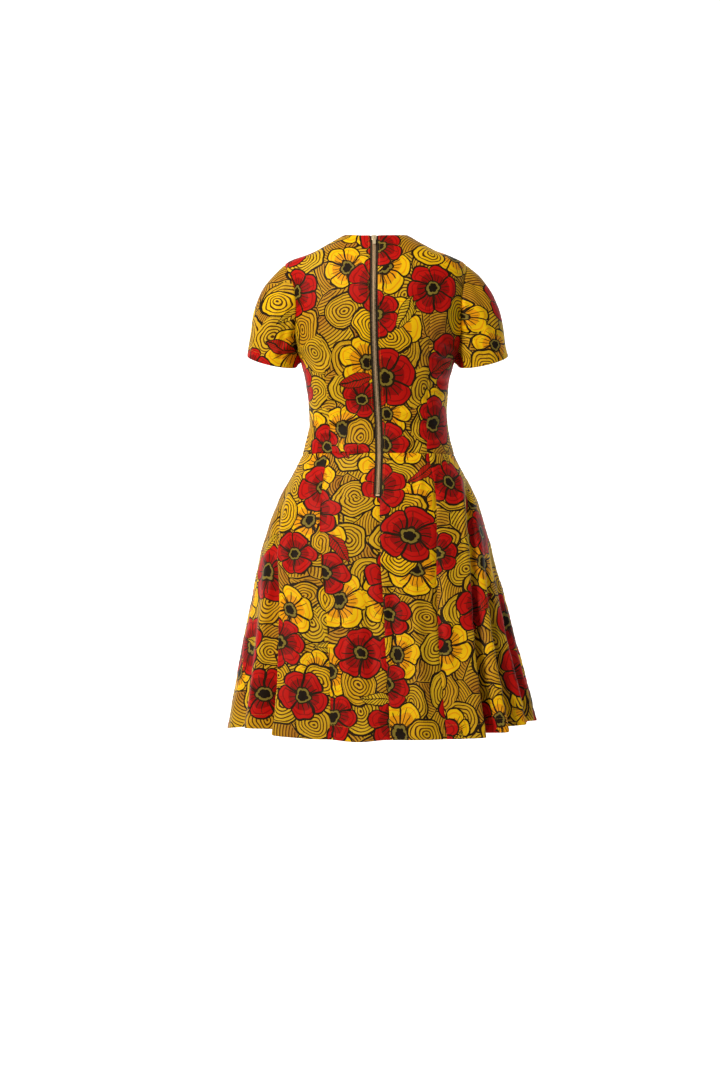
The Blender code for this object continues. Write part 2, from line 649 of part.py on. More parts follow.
def back_rows(first, last):
    """Heights of the back's own rows between two heights, with both of them."""
    height, _ = bodice_rows()
    height = height - BACK_NECK_DROP * above_shoulder(height)
    height[-1] = WAIST_SEAM
    skirt = WAIST_SEAM + np.array(SKIRT_ROWS)[1:] * (HEM - WAIST_SEAM)
    rows = np.concatenate([height, skirt])
    inside = rows[(rows < first - 0.0005) & (rows > last + 0.0005)]
    return np.concatenate([[first], inside, [last]])


def strip(name, offsets, first, last, outer_rise, inner_rise, material):
    """A strip down the zip: columns at `offsets` from its middle, faces at two rises."""
    height = back_rows(first, last)
    x = zip_x(height)[:, None] + np.array(offsets)
    point, normal = back_at(x, np.broadcast_to(height[:, None], x.shape))
    return cloth_wall(name, point + outer_rise * normal, point + inner_rise * normal, material)


def zip_pose(height):
    """Placing matrix at the zip's middle: X across, Y up along the zip, Z out of the cloth."""
    at = np.array([height, height + 0.0005])
    point, normal = back_at(zip_x(at), at)
    out = normal[0]
    up = unit(point[1] - point[0])
    side = unit(np.cross(up, out))
    matrix = Matrix.Identity(4)
    for row in range(3):
        matrix[row][0], matrix[row][1], matrix[row][2] = side[row], up[row], out[row]
        matrix[row][3] = point[0][row]
    return matrix


def block(name, size, place, collection):
    """A box from Blender's cube, its size applied before any modifier."""
    bpy.ops.mesh.primitive_cube_add(size=1.0)
    box = bpy.context.active_object
    box.name = name
    box.data.transform(Matrix.Diagonal((*size, 1.0)))
    box.matrix_world = place
    for other in list(box.users_collection):
        other.objects.unlink(box)
    bpy.data.collections[collection].objects.link(box)
    return box


def bevelled(piece, width, segments=2):
    """Round a hard piece's edges."""
    bevel = piece.modifiers.new("rounded edges", "BEVEL")
    bevel.width = width
    bevel.segments = segments
    return piece


def shaped_by(piece, operation, tool):
    """Join a tool to a piece or cut it away, and keep the tool as a guide only."""
    boolean = piece.modifiers.new(operation.lower(), "BOOLEAN")
    boolean.operation = operation
    boolean.object = tool
    tool.hide_render = True
    tool.display_type = "WIRE"


def slider_place():
    """Placing matrix of the slider's middle, half its length down from where it starts."""
    steep = zip_pose(SLIDER_START)[2][1]
    return zip_pose(SLIDER_START - 0.5 * SLIDER_LENGTH * steep)


def chain_start():
    """Height where the chain comes out below the slider."""
    place = slider_place()
    return place[2][3] - (0.5 * SLIDER_LENGTH + SEAM_GAP) * place[2][1]


def zip_slider(metal):
    """The slider: a body over the chain, with a bridge.  Returns the place of the pull's pin."""
    place = slider_place()
    body_middle = SLIDER_SINK + 0.5 * SLIDER_HEIGHT
    body = block(
        "zip_slider", (SLIDER_WIDTH, SLIDER_LENGTH, SLIDER_HEIGHT),
        place @ Matrix.Translation((0.0, 0.0, body_middle)), OBJECT_NAME)
    bevelled(body, SLIDER_ROUNDING)
    top = SLIDER_SINK + SLIDER_HEIGHT
    bridge_middle = top + 0.5 * (BRIDGE_RISE - BRIDGE_ROOT)
    bridge = block(
        "bridge", (BRIDGE_WIDTH, BRIDGE_LENGTH, BRIDGE_RISE + BRIDGE_ROOT),
        place @ Matrix.Translation((0.0, 0.0, bridge_middle)), "cutters")
    bevelled(bridge, BRIDGE_ROUNDING, 1)
    window_length = BRIDGE_LENGTH - 2.0 * BRIDGE_POST
    window_height = BRIDGE_RISE - BRIDGE_BAR
    window = block(
        "bridge_window", (3.0 * BRIDGE_WIDTH, window_length, window_height),
        place @ Matrix.Translation((0.0, 0.0, top + 0.5 * window_height)), "cutters")
    shaped_by(body, "UNION", bridge)
    shaped_by(body, "DIFFERENCE", window)
    body.data.materials.append(metal)
    return place @ Matrix.Translation((0.0, 0.0, top + PULL_PIN_RISE))


def zip_pull(axis_place, metal):
    """The pull tab: a plate with an eye round the bridge, its origin on the pin's axis."""
    half_bar = 0.5 * PULL_THICKNESS
    tab = block("zip_pull", (PULL_WIDTH, PULL_LENGTH, PULL_THICKNESS), axis_place, OBJECT_NAME)
    tab.data.transform(Matrix.Translation((0.0, half_bar - 0.5 * PULL_LENGTH, 0.0)))
    bevelled(tab, PULL_ROUNDING, 1)
    eye = block(
        "pull_eye", (PULL_EYE_WIDTH, PULL_EYE_LENGTH - half_bar, 3.0 * PULL_THICKNESS),
        axis_place @ Matrix.Translation((0.0, -0.5 * (PULL_EYE_LENGTH + half_bar), 0.0)), "cutters")
    shaped_by(tab, "DIFFERENCE", eye)
    tab.data.materials.append(metal)
    return tab


# ---------------------------------------------------------------- the whole dress

def finish(name, colour, roughness, metallic):
    """A Principled material from a colour in linear light."""
    material = bpy.data.materials.new(name)
    material.use_nodes = True
    shader = material.node_tree.nodes["Principled BSDF"]
    shader.inputs["Base Color"].default_value = (*colour, 1.0)
    shader.inputs["Roughness"].default_value = roughness
    shader.inputs["Metallic"].default_value = metallic
    material.diffuse_color = (*colour, 1.0)
    return material


def main():
    for old in list(bpy.data.objects):
        bpy.data.objects.remove(old, do_unlink=True)
    for name in (OBJECT_NAME, "cutters"):
        bpy.context.scene.collection.children.link(bpy.data.collections.new(name))

    cotton = finish("waxed cotton", (0.56, 0.33, 0.03), 0.62, 0.0)
    tape = finish("zip tape", (0.025, 0.018, 0.008), 0.85, 0.0)
    brass = finish("aged brass", (0.36, 0.27, 0.16), 0.38, 1.0)
    pale_gold = finish("pale gold", (0.60, 0.48, 0.28), 0.30, 1.0)

    front_bodice("front_bodice", cotton)
    back_bodice("back_bodice_left", 1.0, cotton)
    back_bodice("back_bodice_right", -1.0, cotton)
    sleeve("sleeve_left", 1.0, cotton)
    sleeve("sleeve_right", -1.0, cotton)
    front_skirt("front_skirt", cotton)
    centre_back_skirt("back_skirt_centre_left", 1.0, cotton)
    centre_back_skirt("back_skirt_centre_right", -1.0, cotton)
    side_back_skirt("back_skirt_side_left", LEFT_GORE_LINE, LEFT_SIDE_LINE, cotton)
    side_back_skirt("back_skirt_side_right", RIGHT_SIDE_LINE, RIGHT_GORE_LINE, cotton)

    half_gap = 0.5 * SEAM_GAP
    tape_foot = -TAPE_SINK - TAPE_WALL
    left_tape = (half_gap, ZIP_WINDOW, TAPE_HALF_WIDTH)
    right_tape = (-TAPE_HALF_WIDTH, -ZIP_WINDOW, -half_gap)
    top = -BACK_NECK_DROP - TAPE_TOP_DROP
    strip("zip_tape_left", left_tape, top, TAPE_END, -TAPE_SINK, tape_foot, tape)
    strip("zip_tape_right", right_tape, top, TAPE_END, -TAPE_SINK, tape_foot, tape)
    chain_columns = np.linspace(-CHAIN_HALF_WIDTH, CHAIN_HALF_WIDTH, 3)
    chain_foot = SEAM_GAP - TAPE_SINK
    stop_top = ZIP_END + STOP_LENGTH
    chain_end = stop_top + SEAM_GAP
    strip("zip_chain", chain_columns, chain_start(), chain_end, CHAIN_RISE, chain_foot, brass)
    stop_columns = (-CHAIN_HALF_WIDTH, CHAIN_HALF_WIDTH)
    strip("zip_bottom_stop", stop_columns, stop_top, ZIP_END, CHAIN_RISE, chain_foot, brass)
    zip_pull(zip_slider(pale_gold), pale_gold)


main()
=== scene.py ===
"""Printed cotton dress: the finished cloth, its print, creases and seams, and its metal zip.

Metres, +Z up, the wearer's left side at +X and the front at -Y, as in the frame.  The cloth
pieces are thin shells on the same two forms as the solids: the bodice form is read by an
angle and a height, the skirt form by a grain line and how far down a point lies.
"""

import math

import bpy
import numpy as np
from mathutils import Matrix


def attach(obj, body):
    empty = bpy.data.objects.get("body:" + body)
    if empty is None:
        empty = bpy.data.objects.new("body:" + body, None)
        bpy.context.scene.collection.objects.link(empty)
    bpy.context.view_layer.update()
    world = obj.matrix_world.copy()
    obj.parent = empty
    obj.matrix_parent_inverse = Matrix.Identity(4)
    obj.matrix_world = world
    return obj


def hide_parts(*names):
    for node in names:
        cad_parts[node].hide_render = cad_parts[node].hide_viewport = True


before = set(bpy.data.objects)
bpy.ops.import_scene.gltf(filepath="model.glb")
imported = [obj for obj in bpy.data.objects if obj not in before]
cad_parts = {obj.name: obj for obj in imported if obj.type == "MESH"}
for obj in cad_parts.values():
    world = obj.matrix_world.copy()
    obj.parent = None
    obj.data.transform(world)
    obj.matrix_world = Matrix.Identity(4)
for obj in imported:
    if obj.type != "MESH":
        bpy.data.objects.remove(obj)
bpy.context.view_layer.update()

DRESS, PULL = "dress", "zip_pull"           # the two bodies of the frame
SIDE_NAMES = {1.0: "left", -1.0: "right"}   # the wearer's sides, by the sign of X

# ---- camera: 2.05 mm of the dress to a pixel of a 720 x 1073 image ----
IMAGE_HEIGHT = 1073
SCALE = 0.00205
DISTANCE = 4.0
EYE = (0.033, DISTANCE, -0.616)
SENSOR = 36.0
FLOOR = -1.60

# ---- cloth ----
CLOTH = 0.0007              # one layer of the cotton
SEAM_DEPTH = 0.0012         # seams lie this deep between the pieces
SEAM_WIDTH = 0.0022
PUCKER = 0.0005             # height of the small waves beside a seam
PUCKER_REACH = 0.010
PUCKER_PITCH, PUCKER_DRIFT = 0.017, 0.071   # length of a wave, and of the swing in its pace
HEM_DEPTH = 0.030           # turned-up hem of the skirt
CUFF_DEPTH = 0.020          # and of the sleeves
ZIP_TURNING, NECK_TURNING = 0.013, 0.008
LAYER_STEP = 0.0006         # a turning's second layer ends over about this distance
EDGE_ROUNDING, EDGE_RADIUS = 0.0007, 0.0010
STITCH_DIP, STITCH_DIP_WIDTH = 0.0004, 0.0016
STITCH_PITCH, STITCH_LENGTH, THREAD = 0.0030, 0.0024, 0.00045
ZIP_STITCHING = 0.003       # from the folded edge beside the zip
NECK_STITCHING = 0.006      # from the neck's edge: it draws the cloth in, and no thread shows
HEM_STITCHING = HEM_DEPTH - 0.002
CUFF_STITCHING = CUFF_DEPTH - 0.0015
LEVEL_OUT = 0.012           # walls turn level over this height beside the waist seam
CREASE_FREE, SLEEVE_CREASE_FREE = 0.022, 0.020      # creases fade out this near to the sides
SWELL = 0.0004              # height of the faint swells of worn cloth

# ---- the two forms ----
NECK = 0.0
BACK_NECK_DROP = 0.008
FRONT_NECK_DROP = 0.078
SHOULDER_POINT = -0.0600
UNDERARM = -0.258
WAIST_SEAM = -0.449
HEM = -1.008
NECK_HALF_WIDTH, NECK_CENTRE_X = 0.0655, 0.0020
SQUARENESS = 0.10

FORM_COLUMNS = ("height", "half_width", "centre_x", "back_depth", "front_depth")
BODICE_LEVELS = (
    (0.0000, 0.0655, 0.0020, 0.060, 0.056),     # neck point
    (-0.0310, 0.1205, -0.0006, 0.078, 0.066),
    (-0.0600, 0.1850, 0.0008, 0.091, 0.077),    # shoulder point
    (-0.0780, 0.1925, 0.0003, 0.097, 0.084),
    (-0.1050, 0.1930, -0.0006, 0.104, 0.095),
    (-0.1520, 0.1870, -0.0010, 0.110, 0.112),
    (-0.2000, 0.1785, -0.0020, 0.110, 0.125),
    (-0.2400, 0.1660, -0.0028, 0.106, 0.130),   # bust
    (-0.2620, 0.1565, -0.0030, 0.102, 0.128),
    (-0.3055, 0.1466, -0.0031, 0.095, 0.118),
    (-0.3588, 0.1415, -0.0041, 0.088, 0.105),   # narrowest
    (-0.3854, 0.1418, -0.0044, 0.088, 0.102),
    (-0.4100, 0.1456, -0.0042, 0.091, 0.103),
    (-0.4490, 0.1565, -0.0045, 0.101, 0.108),   # waist seam
)
SKIRT_LEVELS = (
    (-0.4490, 0.1565, -0.0045, 0.101, 0.108),
    (-0.4592, 0.1605, -0.0043, 0.106, 0.110),
    (-0.4800, 0.1710, -0.0041, 0.1135, 0.114),
    (-0.5002, 0.1825, -0.0041, 0.122, 0.119),
    (-0.5412, 0.2030, -0.0036, 0.137, 0.131),
    (-0.5966, 0.2225, -0.0015, 0.152, 0.146),
    (-0.6540, 0.2380, -0.0009, 0.166, 0.161),
    (-0.7462, 0.2575, -0.0046, 0.188, 0.183),
    (-0.8282, 0.2735, -0.0067, 0.207, 0.202),
    (-0.9287, 0.2930, -0.0113, 0.229, 0.223),
    (-1.0080, 0.3080, -0.0133, 0.245, 0.238),
)
LINE_COLUMNS = ("hem_angle", "waist_angle", "start", "relief", "lean")
SKIRT_LINES = (
    (-180.0, -180.0, 0.30, -0.004, 0.000),      # centre front
    (-169.0, -160.0, 0.30, 0.006, 0.000),
    (-158.0, -139.0, 0.30, -0.010, 0.000),
    (-149.0, -124.0, 0.20, 0.012, 0.000),
    (-140.0, -110.0, 0.15, -0.024, 0.000),
    (-130.0, -101.0, 0.25, 0.012, 0.000),
    (-120.0, -97.0, 0.25, -0.020, 0.000),
    (-110.0, -95.0, 0.30, 0.012, 0.000),
    (-100.0, -92.0, 0.35, -0.014, 0.000),
    (-91.0, -90.0, 0.30, 0.012, 0.000),         # right side seam
    (-83.0, -88.5, 0.40, -0.010, 0.000),
    (-76.0, -87.0, 0.30, 0.010, 0.000),
    (-69.0, -85.5, 0.30, -0.016, 0.000),
    (-61.0, -84.0, 0.30, 0.012, -0.003),
    (-53.0, -81.5, 0.28, -0.020, 0.000),
    (-46.0, -78.0, 0.24, 0.016, -0.004),
    (-39.5, -73.0, 0.08, -0.036, 0.004),
    (-33.5, -64.0, 0.08, 0.016, -0.010),
    (-27.5, -50.0, 0.25, 0.004, 0.000),
    (-21.5, -37.5, 0.00, -0.002, 0.000),        # right gore seam
    (-12.0, -19.0, 0.30, 0.005, 0.000),
    (-2.0, 0.0, 0.00, -0.002, 0.000),           # centre back seam
    (8.0, 19.0, 0.30, 0.005, 0.000),
    (18.5, 38.5, 0.00, -0.002, 0.000),          # left gore seam
    (28.0, 55.0, 0.25, 0.006, 0.000),
    (37.0, 72.0, 0.10, 0.020, 0.010),
    (44.5, 79.0, 0.10, -0.040, -0.004),
    (56.0, 83.0, 0.25, 0.012, 0.000),
    (68.0, 85.5, 0.35, -0.014, 0.000),
    (79.0, 88.5, 0.40, 0.008, 0.000),
    (91.0, 90.0, 0.30, 0.010, 0.000),           # left side seam
    (104.0, 93.0, 0.30, -0.018, 0.000),
    (115.0, 95.0, 0.30, 0.012, 0.000),
    (126.0, 98.0, 0.25, -0.020, 0.000),
    (137.0, 104.0, 0.20, 0.012, 0.000),
    (147.0, 118.0, 0.15, -0.024, 0.000),
    (156.0, 136.0, 0.25, 0.010, 0.000),
    (168.0, 158.0, 0.30, -0.006, 0.000),
    (180.0, 180.0, 0.30, -0.004, 0.000),        # centre front again
)
LIFT_COLUMNS = ("middle", "spread", "lift")
# The hem swings up towards both sides and hangs lowest a little left of the middle.
HEM_LIFTS = ((-72.0, 48.0, 0.022), (9.0, 11.0, -0.004), (57.0, 36.0, 0.014))
RIGHT_SIDE_LINE, RIGHT_GORE_LINE, CENTRE_BACK_LINE = -91.0, -21.5, -2.0
LEFT_GORE_LINE, LEFT_SIDE_LINE = 18.5, 91.0
DRAW_IN = 2.2               # power with which grain lines turn from their waist to their hem angle

BACK_ARMHOLE_SCOOP = {1.0: math.radians(30.0), -1.0: math.radians(25.0)}
FRONT_ARMHOLE_SCOOP = math.radians(30.0)
ARMHOLE_LEAN = 0.40
CUFF_CENTRE = (0.2163, 0.000, -0.2570)
BODY_LEAN = -0.003
CUFF_TILT = math.radians(12.4)
CUFF_HALF_WIDTH, CUFF_HALF_DEPTH = 0.0525, 0.0540
CUFF_BACK_DROP, CUFF_FRONT_RISE = 0.0135, 0.0040
CAP_LIFT, CAP_ROUND = 0.80, 0.20
START_FULLNESS, END_FULLNESS = 1.45, 1.00

BUST_FULLNESS = 0.010
BUST_ANGLE, BUST_ANGLE_SPREAD = math.radians(142.0), math.radians(24.0)
BUST_HEIGHT, BUST_HEIGHT_SPREAD = -0.235, 0.055

ZIP_END = -0.536
ZIP_COLUMNS = ("height", "across")
ZIP_LINE = (
    (0.000, 0.0044), (-0.060, 0.0050), (-0.150, 0.0058), (-0.210, 0.0050), (-0.260, 0.0031),
    (-0.310, 0.0005), (-0.360, -0.0025), (-0.410, -0.0048), (-0.449, -0.0052),
    (-0.490, -0.0038), (-0.536, -0.0020),
)
ZIP_WINDOW = 0.0082
WIDEN_BELOW_ZIP = 0.001     # the gap for the zip ends this far below the zip's end
TAPE_HALF_WIDTH = 0.0150
TAPE_SINK = 0.0018
TAPE_WALL = 0.0006
TAPE_END = -0.5398
NECK_SPACING = 0.55         # power that spaces the front's columns round the neck


# ---------------------------------------------------------------- tables and curves

def column(names, rows, name):
    """One named column of a table."""
    return np.array([row[names.index(name)] for row in rows])


def smooth_through(knots, values, at):
    """Monotone cubic through (knots, values), with harmonic-mean slopes, read at `at`."""
    order = np.argsort(knots)
    x, y = np.asarray(knots, float)[order], np.asarray(values, float)[order]
    step = np.diff(x)
    slope = np.diff(y) / step
    before, after = slope[:-1], slope[1:]
    near, far = 2.0 * step[1:] + step[:-1], step[1:] + 2.0 * step[:-1]
    rising = before * after > 0.0
    safe_before, safe_after = np.where(rising, before, 1.0), np.where(rising, after, 1.0)
    inner = np.where(rising, (near + far) / (near / safe_before + far / safe_after), 0.0)
    tangent = np.concatenate([slope[:1], inner, slope[-1:]])
    at = np.clip(at, x[0], x[-1])
    k = np.clip(np.searchsorted(x, at) - 1, 0, len(step) - 1)
    t = (at - x[k]) / step[k]
    return (
        y[k] * (1 + 2 * t) * (1 - t) ** 2
        + tangent[k] * step[k] * t * (1 - t) ** 2
        + y[k + 1] * t * t * (3 - 2 * t)
        + tangent[k + 1] * step[k] * t * t * (t - 1)
    )


def read(names, rows, name, at):
    """A named column of a table, read smoothly at places along its first column."""
    return smooth_through(column(names, rows, names[0]), column(names, rows, name), at)


def bell(distance, width):
    """One at no distance, falling off as exp(-q^2) with q the distance over the width."""
    return np.exp(-((distance / width) ** 2))


def unit(vectors):
    """The same vectors, one unit long."""
    return vectors / np.linalg.norm(vectors, axis=-1, keepdims=True)


def lengths(points, axis):
    """Lengths added up along one axis of a grid of points, from zero."""
    steps = np.linalg.norm(np.diff(points, axis=axis), axis=-1)
    pad = [(0, 0), (0, 0)]
    pad[axis] = (1, 0)
    return np.pad(np.cumsum(steps, axis=axis), pad)


# ---------------------------------------------------------------- the two forms

def oval(rows, angle, height):
    """Squared oval whose half width and depths are read from a table at each height."""
    size = {name: read(FORM_COLUMNS, rows, name, height) for name in FORM_COLUMNS[1:]}
    sine, cosine = np.sin(angle), np.cos(angle)
    depth = np.where(cosine > 0.0, size["back_depth"], size["front_depth"])
    x = size["centre_x"] + size["half_width"] * sine * (1.0 + SQUARENESS * cosine**2)
    y = depth * cosine * (1.0 + SQUARENESS * sine**2)
    return np.stack([x, y, height + 0.0 * x], axis=-1)


def bodice_point(angle, height):
    """Bodice form: the oval, pushed forwards by two soft swells where the bust darts end."""
    angle, height = np.broadcast_arrays(np.asarray(angle, float), np.asarray(height, float))
    point = oval(BODICE_LEVELS, angle, height)
    across = (np.abs(angle) - BUST_ANGLE) / BUST_ANGLE_SPREAD
    along = (height - BUST_HEIGHT) / BUST_HEIGHT_SPREAD
    point[..., 1] -= BUST_FULLNESS * np.exp(-(across**2) - along**2)
    return point


def grown(fall, start):
    """Share of a fold's full size: zero above its start, one at the hem."""
    part = np.clip((fall - start) / (1.0 - start), 0.0, 1.0)
    return 0.5 * part * part * (3.0 - 2.0 * part) + 0.5 * part


def fold_state(line, fall):
    """Relief and lean of the folds, eased by half a cosine between the rows of the table."""
    hems = column(LINE_COLUMNS, SKIRT_LINES, "hem_angle")
    starts = column(LINE_COLUMNS, SKIRT_LINES, "start")
    k = np.clip(np.searchsorted(hems, line) - 1, 0, len(hems) - 2)
    ease = 0.5 - 0.5 * np.cos(np.pi * (line - hems[k]) / (hems[k + 1] - hems[k]))
    state = []
    for name in ("relief", "lean"):
        full = column(LINE_COLUMNS, SKIRT_LINES, name)
        left, right = full[k] * grown(fall, starts[k]), full[k + 1] * grown(fall, starts[k + 1])
        state.append(left + (right - left) * ease)
    return state


def hem_lift(line):
    """How far the hem swings up at a grain line."""
    height = 0.0 * line
    for row in HEM_LIFTS:
        swing = dict(zip(LIFT_COLUMNS, row))
        near = np.clip(1.0 - np.abs((line - swing["middle"]) / swing["spread"]), 0.0, 1.0)
        height = height + swing["lift"] * np.sin(0.5 * np.pi * near) ** 2
    return height


def skirt_point(line, fall):
    """Skirt form: a grain line swings from its waist angle to its hem angle, on an oval that
    widens downwards, and the folds stand out from the oval and lean along it."""
    line, fall = np.broadcast_arrays(np.asarray(line, float), np.asarray(fall, float))
    line = (line + 180.0) % 360.0 - 180.0
    height = WAIST_SEAM + fall * (HEM + hem_lift(line) - WAIST_SEAM)
    at_waist = read(LINE_COLUMNS, SKIRT_LINES, "waist_angle", line)
    still_above = np.clip(1.0 - fall, 0.0, 1.0)
    angle = np.radians(line + (at_waist - line) * still_above**DRAW_IN)
    point = oval(SKIRT_LEVELS, angle, height)
    along = unit(oval(SKIRT_LEVELS, angle + 0.001, height) - point)
    out = np.stack([-along[..., 1], along[..., 0], 0.0 * fall], axis=-1)
    relief, lean = fold_state(line, fall)
    return point + out * relief[..., None] + along * lean[..., None]


def angle_at_x(x, height):
    """Angle on the back of the bodice form at a place across and a height."""
    centre = read(FORM_COLUMNS, BODICE_LEVELS, "centre_x", height)
    half = read(FORM_COLUMNS, BODICE_LEVELS, "half_width", height)
    sine = (x - centre) / half
    for _ in range(8):
        sine = (x - centre) / (half * (1.0 + SQUARENESS * (1.0 - sine**2)))
    return np.arcsin(np.clip(sine, -1.0, 1.0))


def line_at_x(x, fall):
    """Grain line of the skirt at a place across the centre back, found by halving."""
    low, high = np.full(np.shape(fall), -20.0), np.full(np.shape(fall), 17.0)
    for _ in range(40):
        middle = 0.5 * (low + high)
        beyond = skirt_point(middle, fall)[..., 0] > x
        high, low = np.where(beyond, middle, high), np.where(beyond, low, middle)
    return 0.5 * (low + high)


def zip_x(height):
    """Place across of the zip's middle at a height: the zip bows with the back."""
    return read(ZIP_COLUMNS, ZIP_LINE, "across", height)


def back_frames(x, height):
    """On the back, at a place across and a height: the point, and the directions across, up
    along the cloth and out of it."""
    def point_at(x, height):
        """The point on the bodice above the waist seam and on the skirt below it."""
        fall = np.clip((WAIST_SEAM - height) / (WAIST_SEAM - HEM), 0.0, 1.0)
        on_bodice = bodice_point(angle_at_x(x, height), height)
        on_skirt = skirt_point(line_at_x(x, fall), fall)
        return np.where((height > WAIST_SEAM)[..., None], on_bodice, on_skirt)

    step = 0.001
    point = point_at(x, height)
    across = unit(point_at(x + step, height) - point_at(x - step, height))
    up = unit(point_at(x, height + step) - point_at(x, height - step))
    out = unit(np.cross(up, across))
    return point, across, up, out


# ---------------------------------------------------------------- creases, darts and seams

# Soft ridges between two places on the dress, seen square from behind or from in front: how
# far the ridge bows aside, the width of its crown, and its height (a trough if negative).
CREASE_COLUMNS = ("x0", "z0", "x1", "z1", "bow", "width", "height")
BACK_CREASES = (
    (-0.170, -0.246, -0.086, -0.214, 0.006, 0.0080, 0.0042),     # right underarm
    (-0.164, -0.262, -0.080, -0.250, -0.004, 0.0075, -0.0040),
    (-0.158, -0.280, -0.086, -0.284, -0.005, 0.0080, 0.0040),
    (-0.152, -0.298, -0.098, -0.322, 0.003, 0.0070, -0.0030),
    (-0.146, -0.322, -0.116, -0.350, 0.003, 0.0065, 0.0020),
    (-0.134, -0.196, -0.098, -0.236, -0.004, 0.0075, -0.0030),
    (0.170, -0.248, 0.104, -0.228, -0.005, 0.0075, 0.0032),      # left underarm
    (0.164, -0.268, 0.094, -0.268, 0.004, 0.0080, -0.0030),
    (0.156, -0.290, 0.106, -0.312, 0.003, 0.0070, 0.0026),
    (0.150, -0.316, 0.118, -0.340, 0.002, 0.0065, -0.0018),
    (-0.150, -0.352, -0.056, -0.340, 0.005, 0.0085, -0.0026),    # waist, right
    (-0.150, -0.376, -0.040, -0.362, -0.004, 0.0080, 0.0030),
    (-0.152, -0.402, -0.064, -0.390, 0.004, 0.0085, -0.0030),
    (-0.154, -0.424, -0.052, -0.420, -0.003, 0.0070, 0.0024),
    (-0.088, -0.436, -0.020, -0.440, -0.002, 0.0060, -0.0012),
    (0.146, -0.362, 0.066, -0.349, -0.005, 0.0085, -0.0022),     # waist, left
    (0.150, -0.390, 0.048, -0.378, 0.004, 0.0080, 0.0028),
    (0.152, -0.414, 0.070, -0.414, 0.003, 0.0075, -0.0024),
    (0.080, -0.430, 0.020, -0.436, 0.002, 0.0060, 0.0014),
    (0.150, -0.090, 0.122, -0.200, 0.008, 0.0130, 0.0026),       # beside the armholes
    (-0.154, -0.092, -0.124, -0.196, -0.008, 0.0120, 0.0032),
    (-0.104, -0.100, -0.056, -0.200, -0.006, 0.0170, -0.0022),
    (0.092, -0.096, 0.046, -0.196, 0.006, 0.0170, -0.0018),
    (-0.132, -0.468, -0.118, -0.575, 0.004, 0.0090, -0.0032),    # hips
    (-0.088, -0.462, -0.080, -0.560, -0.003, 0.0085, 0.0022),
    (0.136, -0.470, 0.120, -0.565, -0.004, 0.0090, -0.0032),
    (0.082, -0.462, 0.072, -0.555, 0.003, 0.0085, 0.0020),
    (0.050, -0.730, 0.060, -1.010, 0.006, 0.0190, 0.0046),       # skirt panels
    (0.022, -0.670, 0.010, -0.980, -0.004, 0.0160, -0.0034),
    (-0.070, -0.700, -0.085, -1.005, -0.006, 0.0180, 0.0044),
    (-0.032, -0.640, -0.040, -0.900, 0.004, 0.0150, -0.0026),
    (-0.118, -0.590, -0.132, -0.900, 0.004, 0.0130, -0.0040),
    (0.128, -0.620, 0.150, -0.960, 0.006, 0.0150, 0.0042),
    (0.168, -0.560, 0.190, -0.800, 0.005, 0.0130, -0.0034),
    (0.196, -0.620, 0.232, -0.920, 0.008, 0.0120, 0.0040),
    (-0.205, -0.600, -0.250, -0.900, -0.006, 0.0110, 0.0040),
    (-0.184, -0.468, -0.200, -0.690, 0.003, 0.0095, -0.0050),    # over the deep fold, right
    (-0.168, -0.470, -0.184, -0.700, 0.003, 0.0090, 0.0036),
)
FRONT_CREASES = (
    (-0.168, -0.250, -0.100, -0.222, 0.005, 0.0080, 0.0036),
    (-0.160, -0.274, -0.104, -0.286, -0.004, 0.0075, -0.0032),
    (-0.150, -0.300, -0.116, -0.330, 0.003, 0.0070, 0.0022),
    (0.168, -0.252, 0.102, -0.228, -0.005, 0.0080, 0.0034),
    (0.158, -0.278, 0.106, -0.292, 0.004, 0.0075, -0.0030),
    (-0.146, -0.368, -0.056, -0.354, 0.004, 0.0085, -0.0024),
    (-0.150, -0.400, -0.036, -0.394, -0.003, 0.0080, 0.0028),
    (0.144, -0.364, 0.048, -0.374, 0.004, 0.0085, 0.0026),
    (0.150, -0.408, 0.060, -0.420, -0.003, 0.0080, -0.0024),
    (-0.130, -0.110, -0.096, -0.190, -0.007, 0.0125, 0.0026),
    (0.134, -0.106, 0.098, -0.196, 0.007, 0.0125, 0.0024),
    (-0.130, -0.470, -0.122, -0.570, 0.004, 0.0090, -0.0030),
    (0.128, -0.470, 0.116, -0.562, -0.004, 0.0090, -0.0028),
    (0.030, -0.680, 0.044, -1.000, 0.006, 0.0190, 0.0044),
    (-0.046, -0.660, -0.058, -0.990, -0.005, 0.0180, -0.0038),
    (-0.104, -0.600, -0.132, -0.950, -0.005, 0.0150, 0.0044),
    (0.112, -0.620, 0.138, -0.970, 0.005, 0.0150, -0.0040),
)
# Darts: from the tip to the end at the seam that takes them in.
DART_COLUMNS = ("x0", "z0", "x1", "z1")
BACK_DARTS = {1.0: (0.1145, -0.180, 0.0890, -0.449), -1.0: (-0.1085, -0.142, -0.1010, -0.449)}
FRONT_DARTS = (
    (0.0780, -0.275, 0.0700, -0.449), (-0.0780, -0.275, -0.0700, -0.449),
    (0.0980, -0.240, 0.1560, -0.292), (-0.0980, -0.240, -0.1560, -0.292),
)
DART_WIDTH = 0.0032         # of a front dart
DART_INTAKE = 0.024         # cloth that a back dart takes in at the waist seam


def along_line(point, row):
    """Where points lie beside a straight line seen square on: part of the way along it, and
    distance to its left."""
    start = np.array([row["x0"], row["z0"]])
    way = np.array([row["x1"], row["z1"]]) - start
    length = np.hypot(*way)
    away = point[..., [0, 2]] - start
    along = (away @ way) / length**2
    across = (away[..., 1] * way[0] - away[..., 0] * way[1]) / length
    return along, across


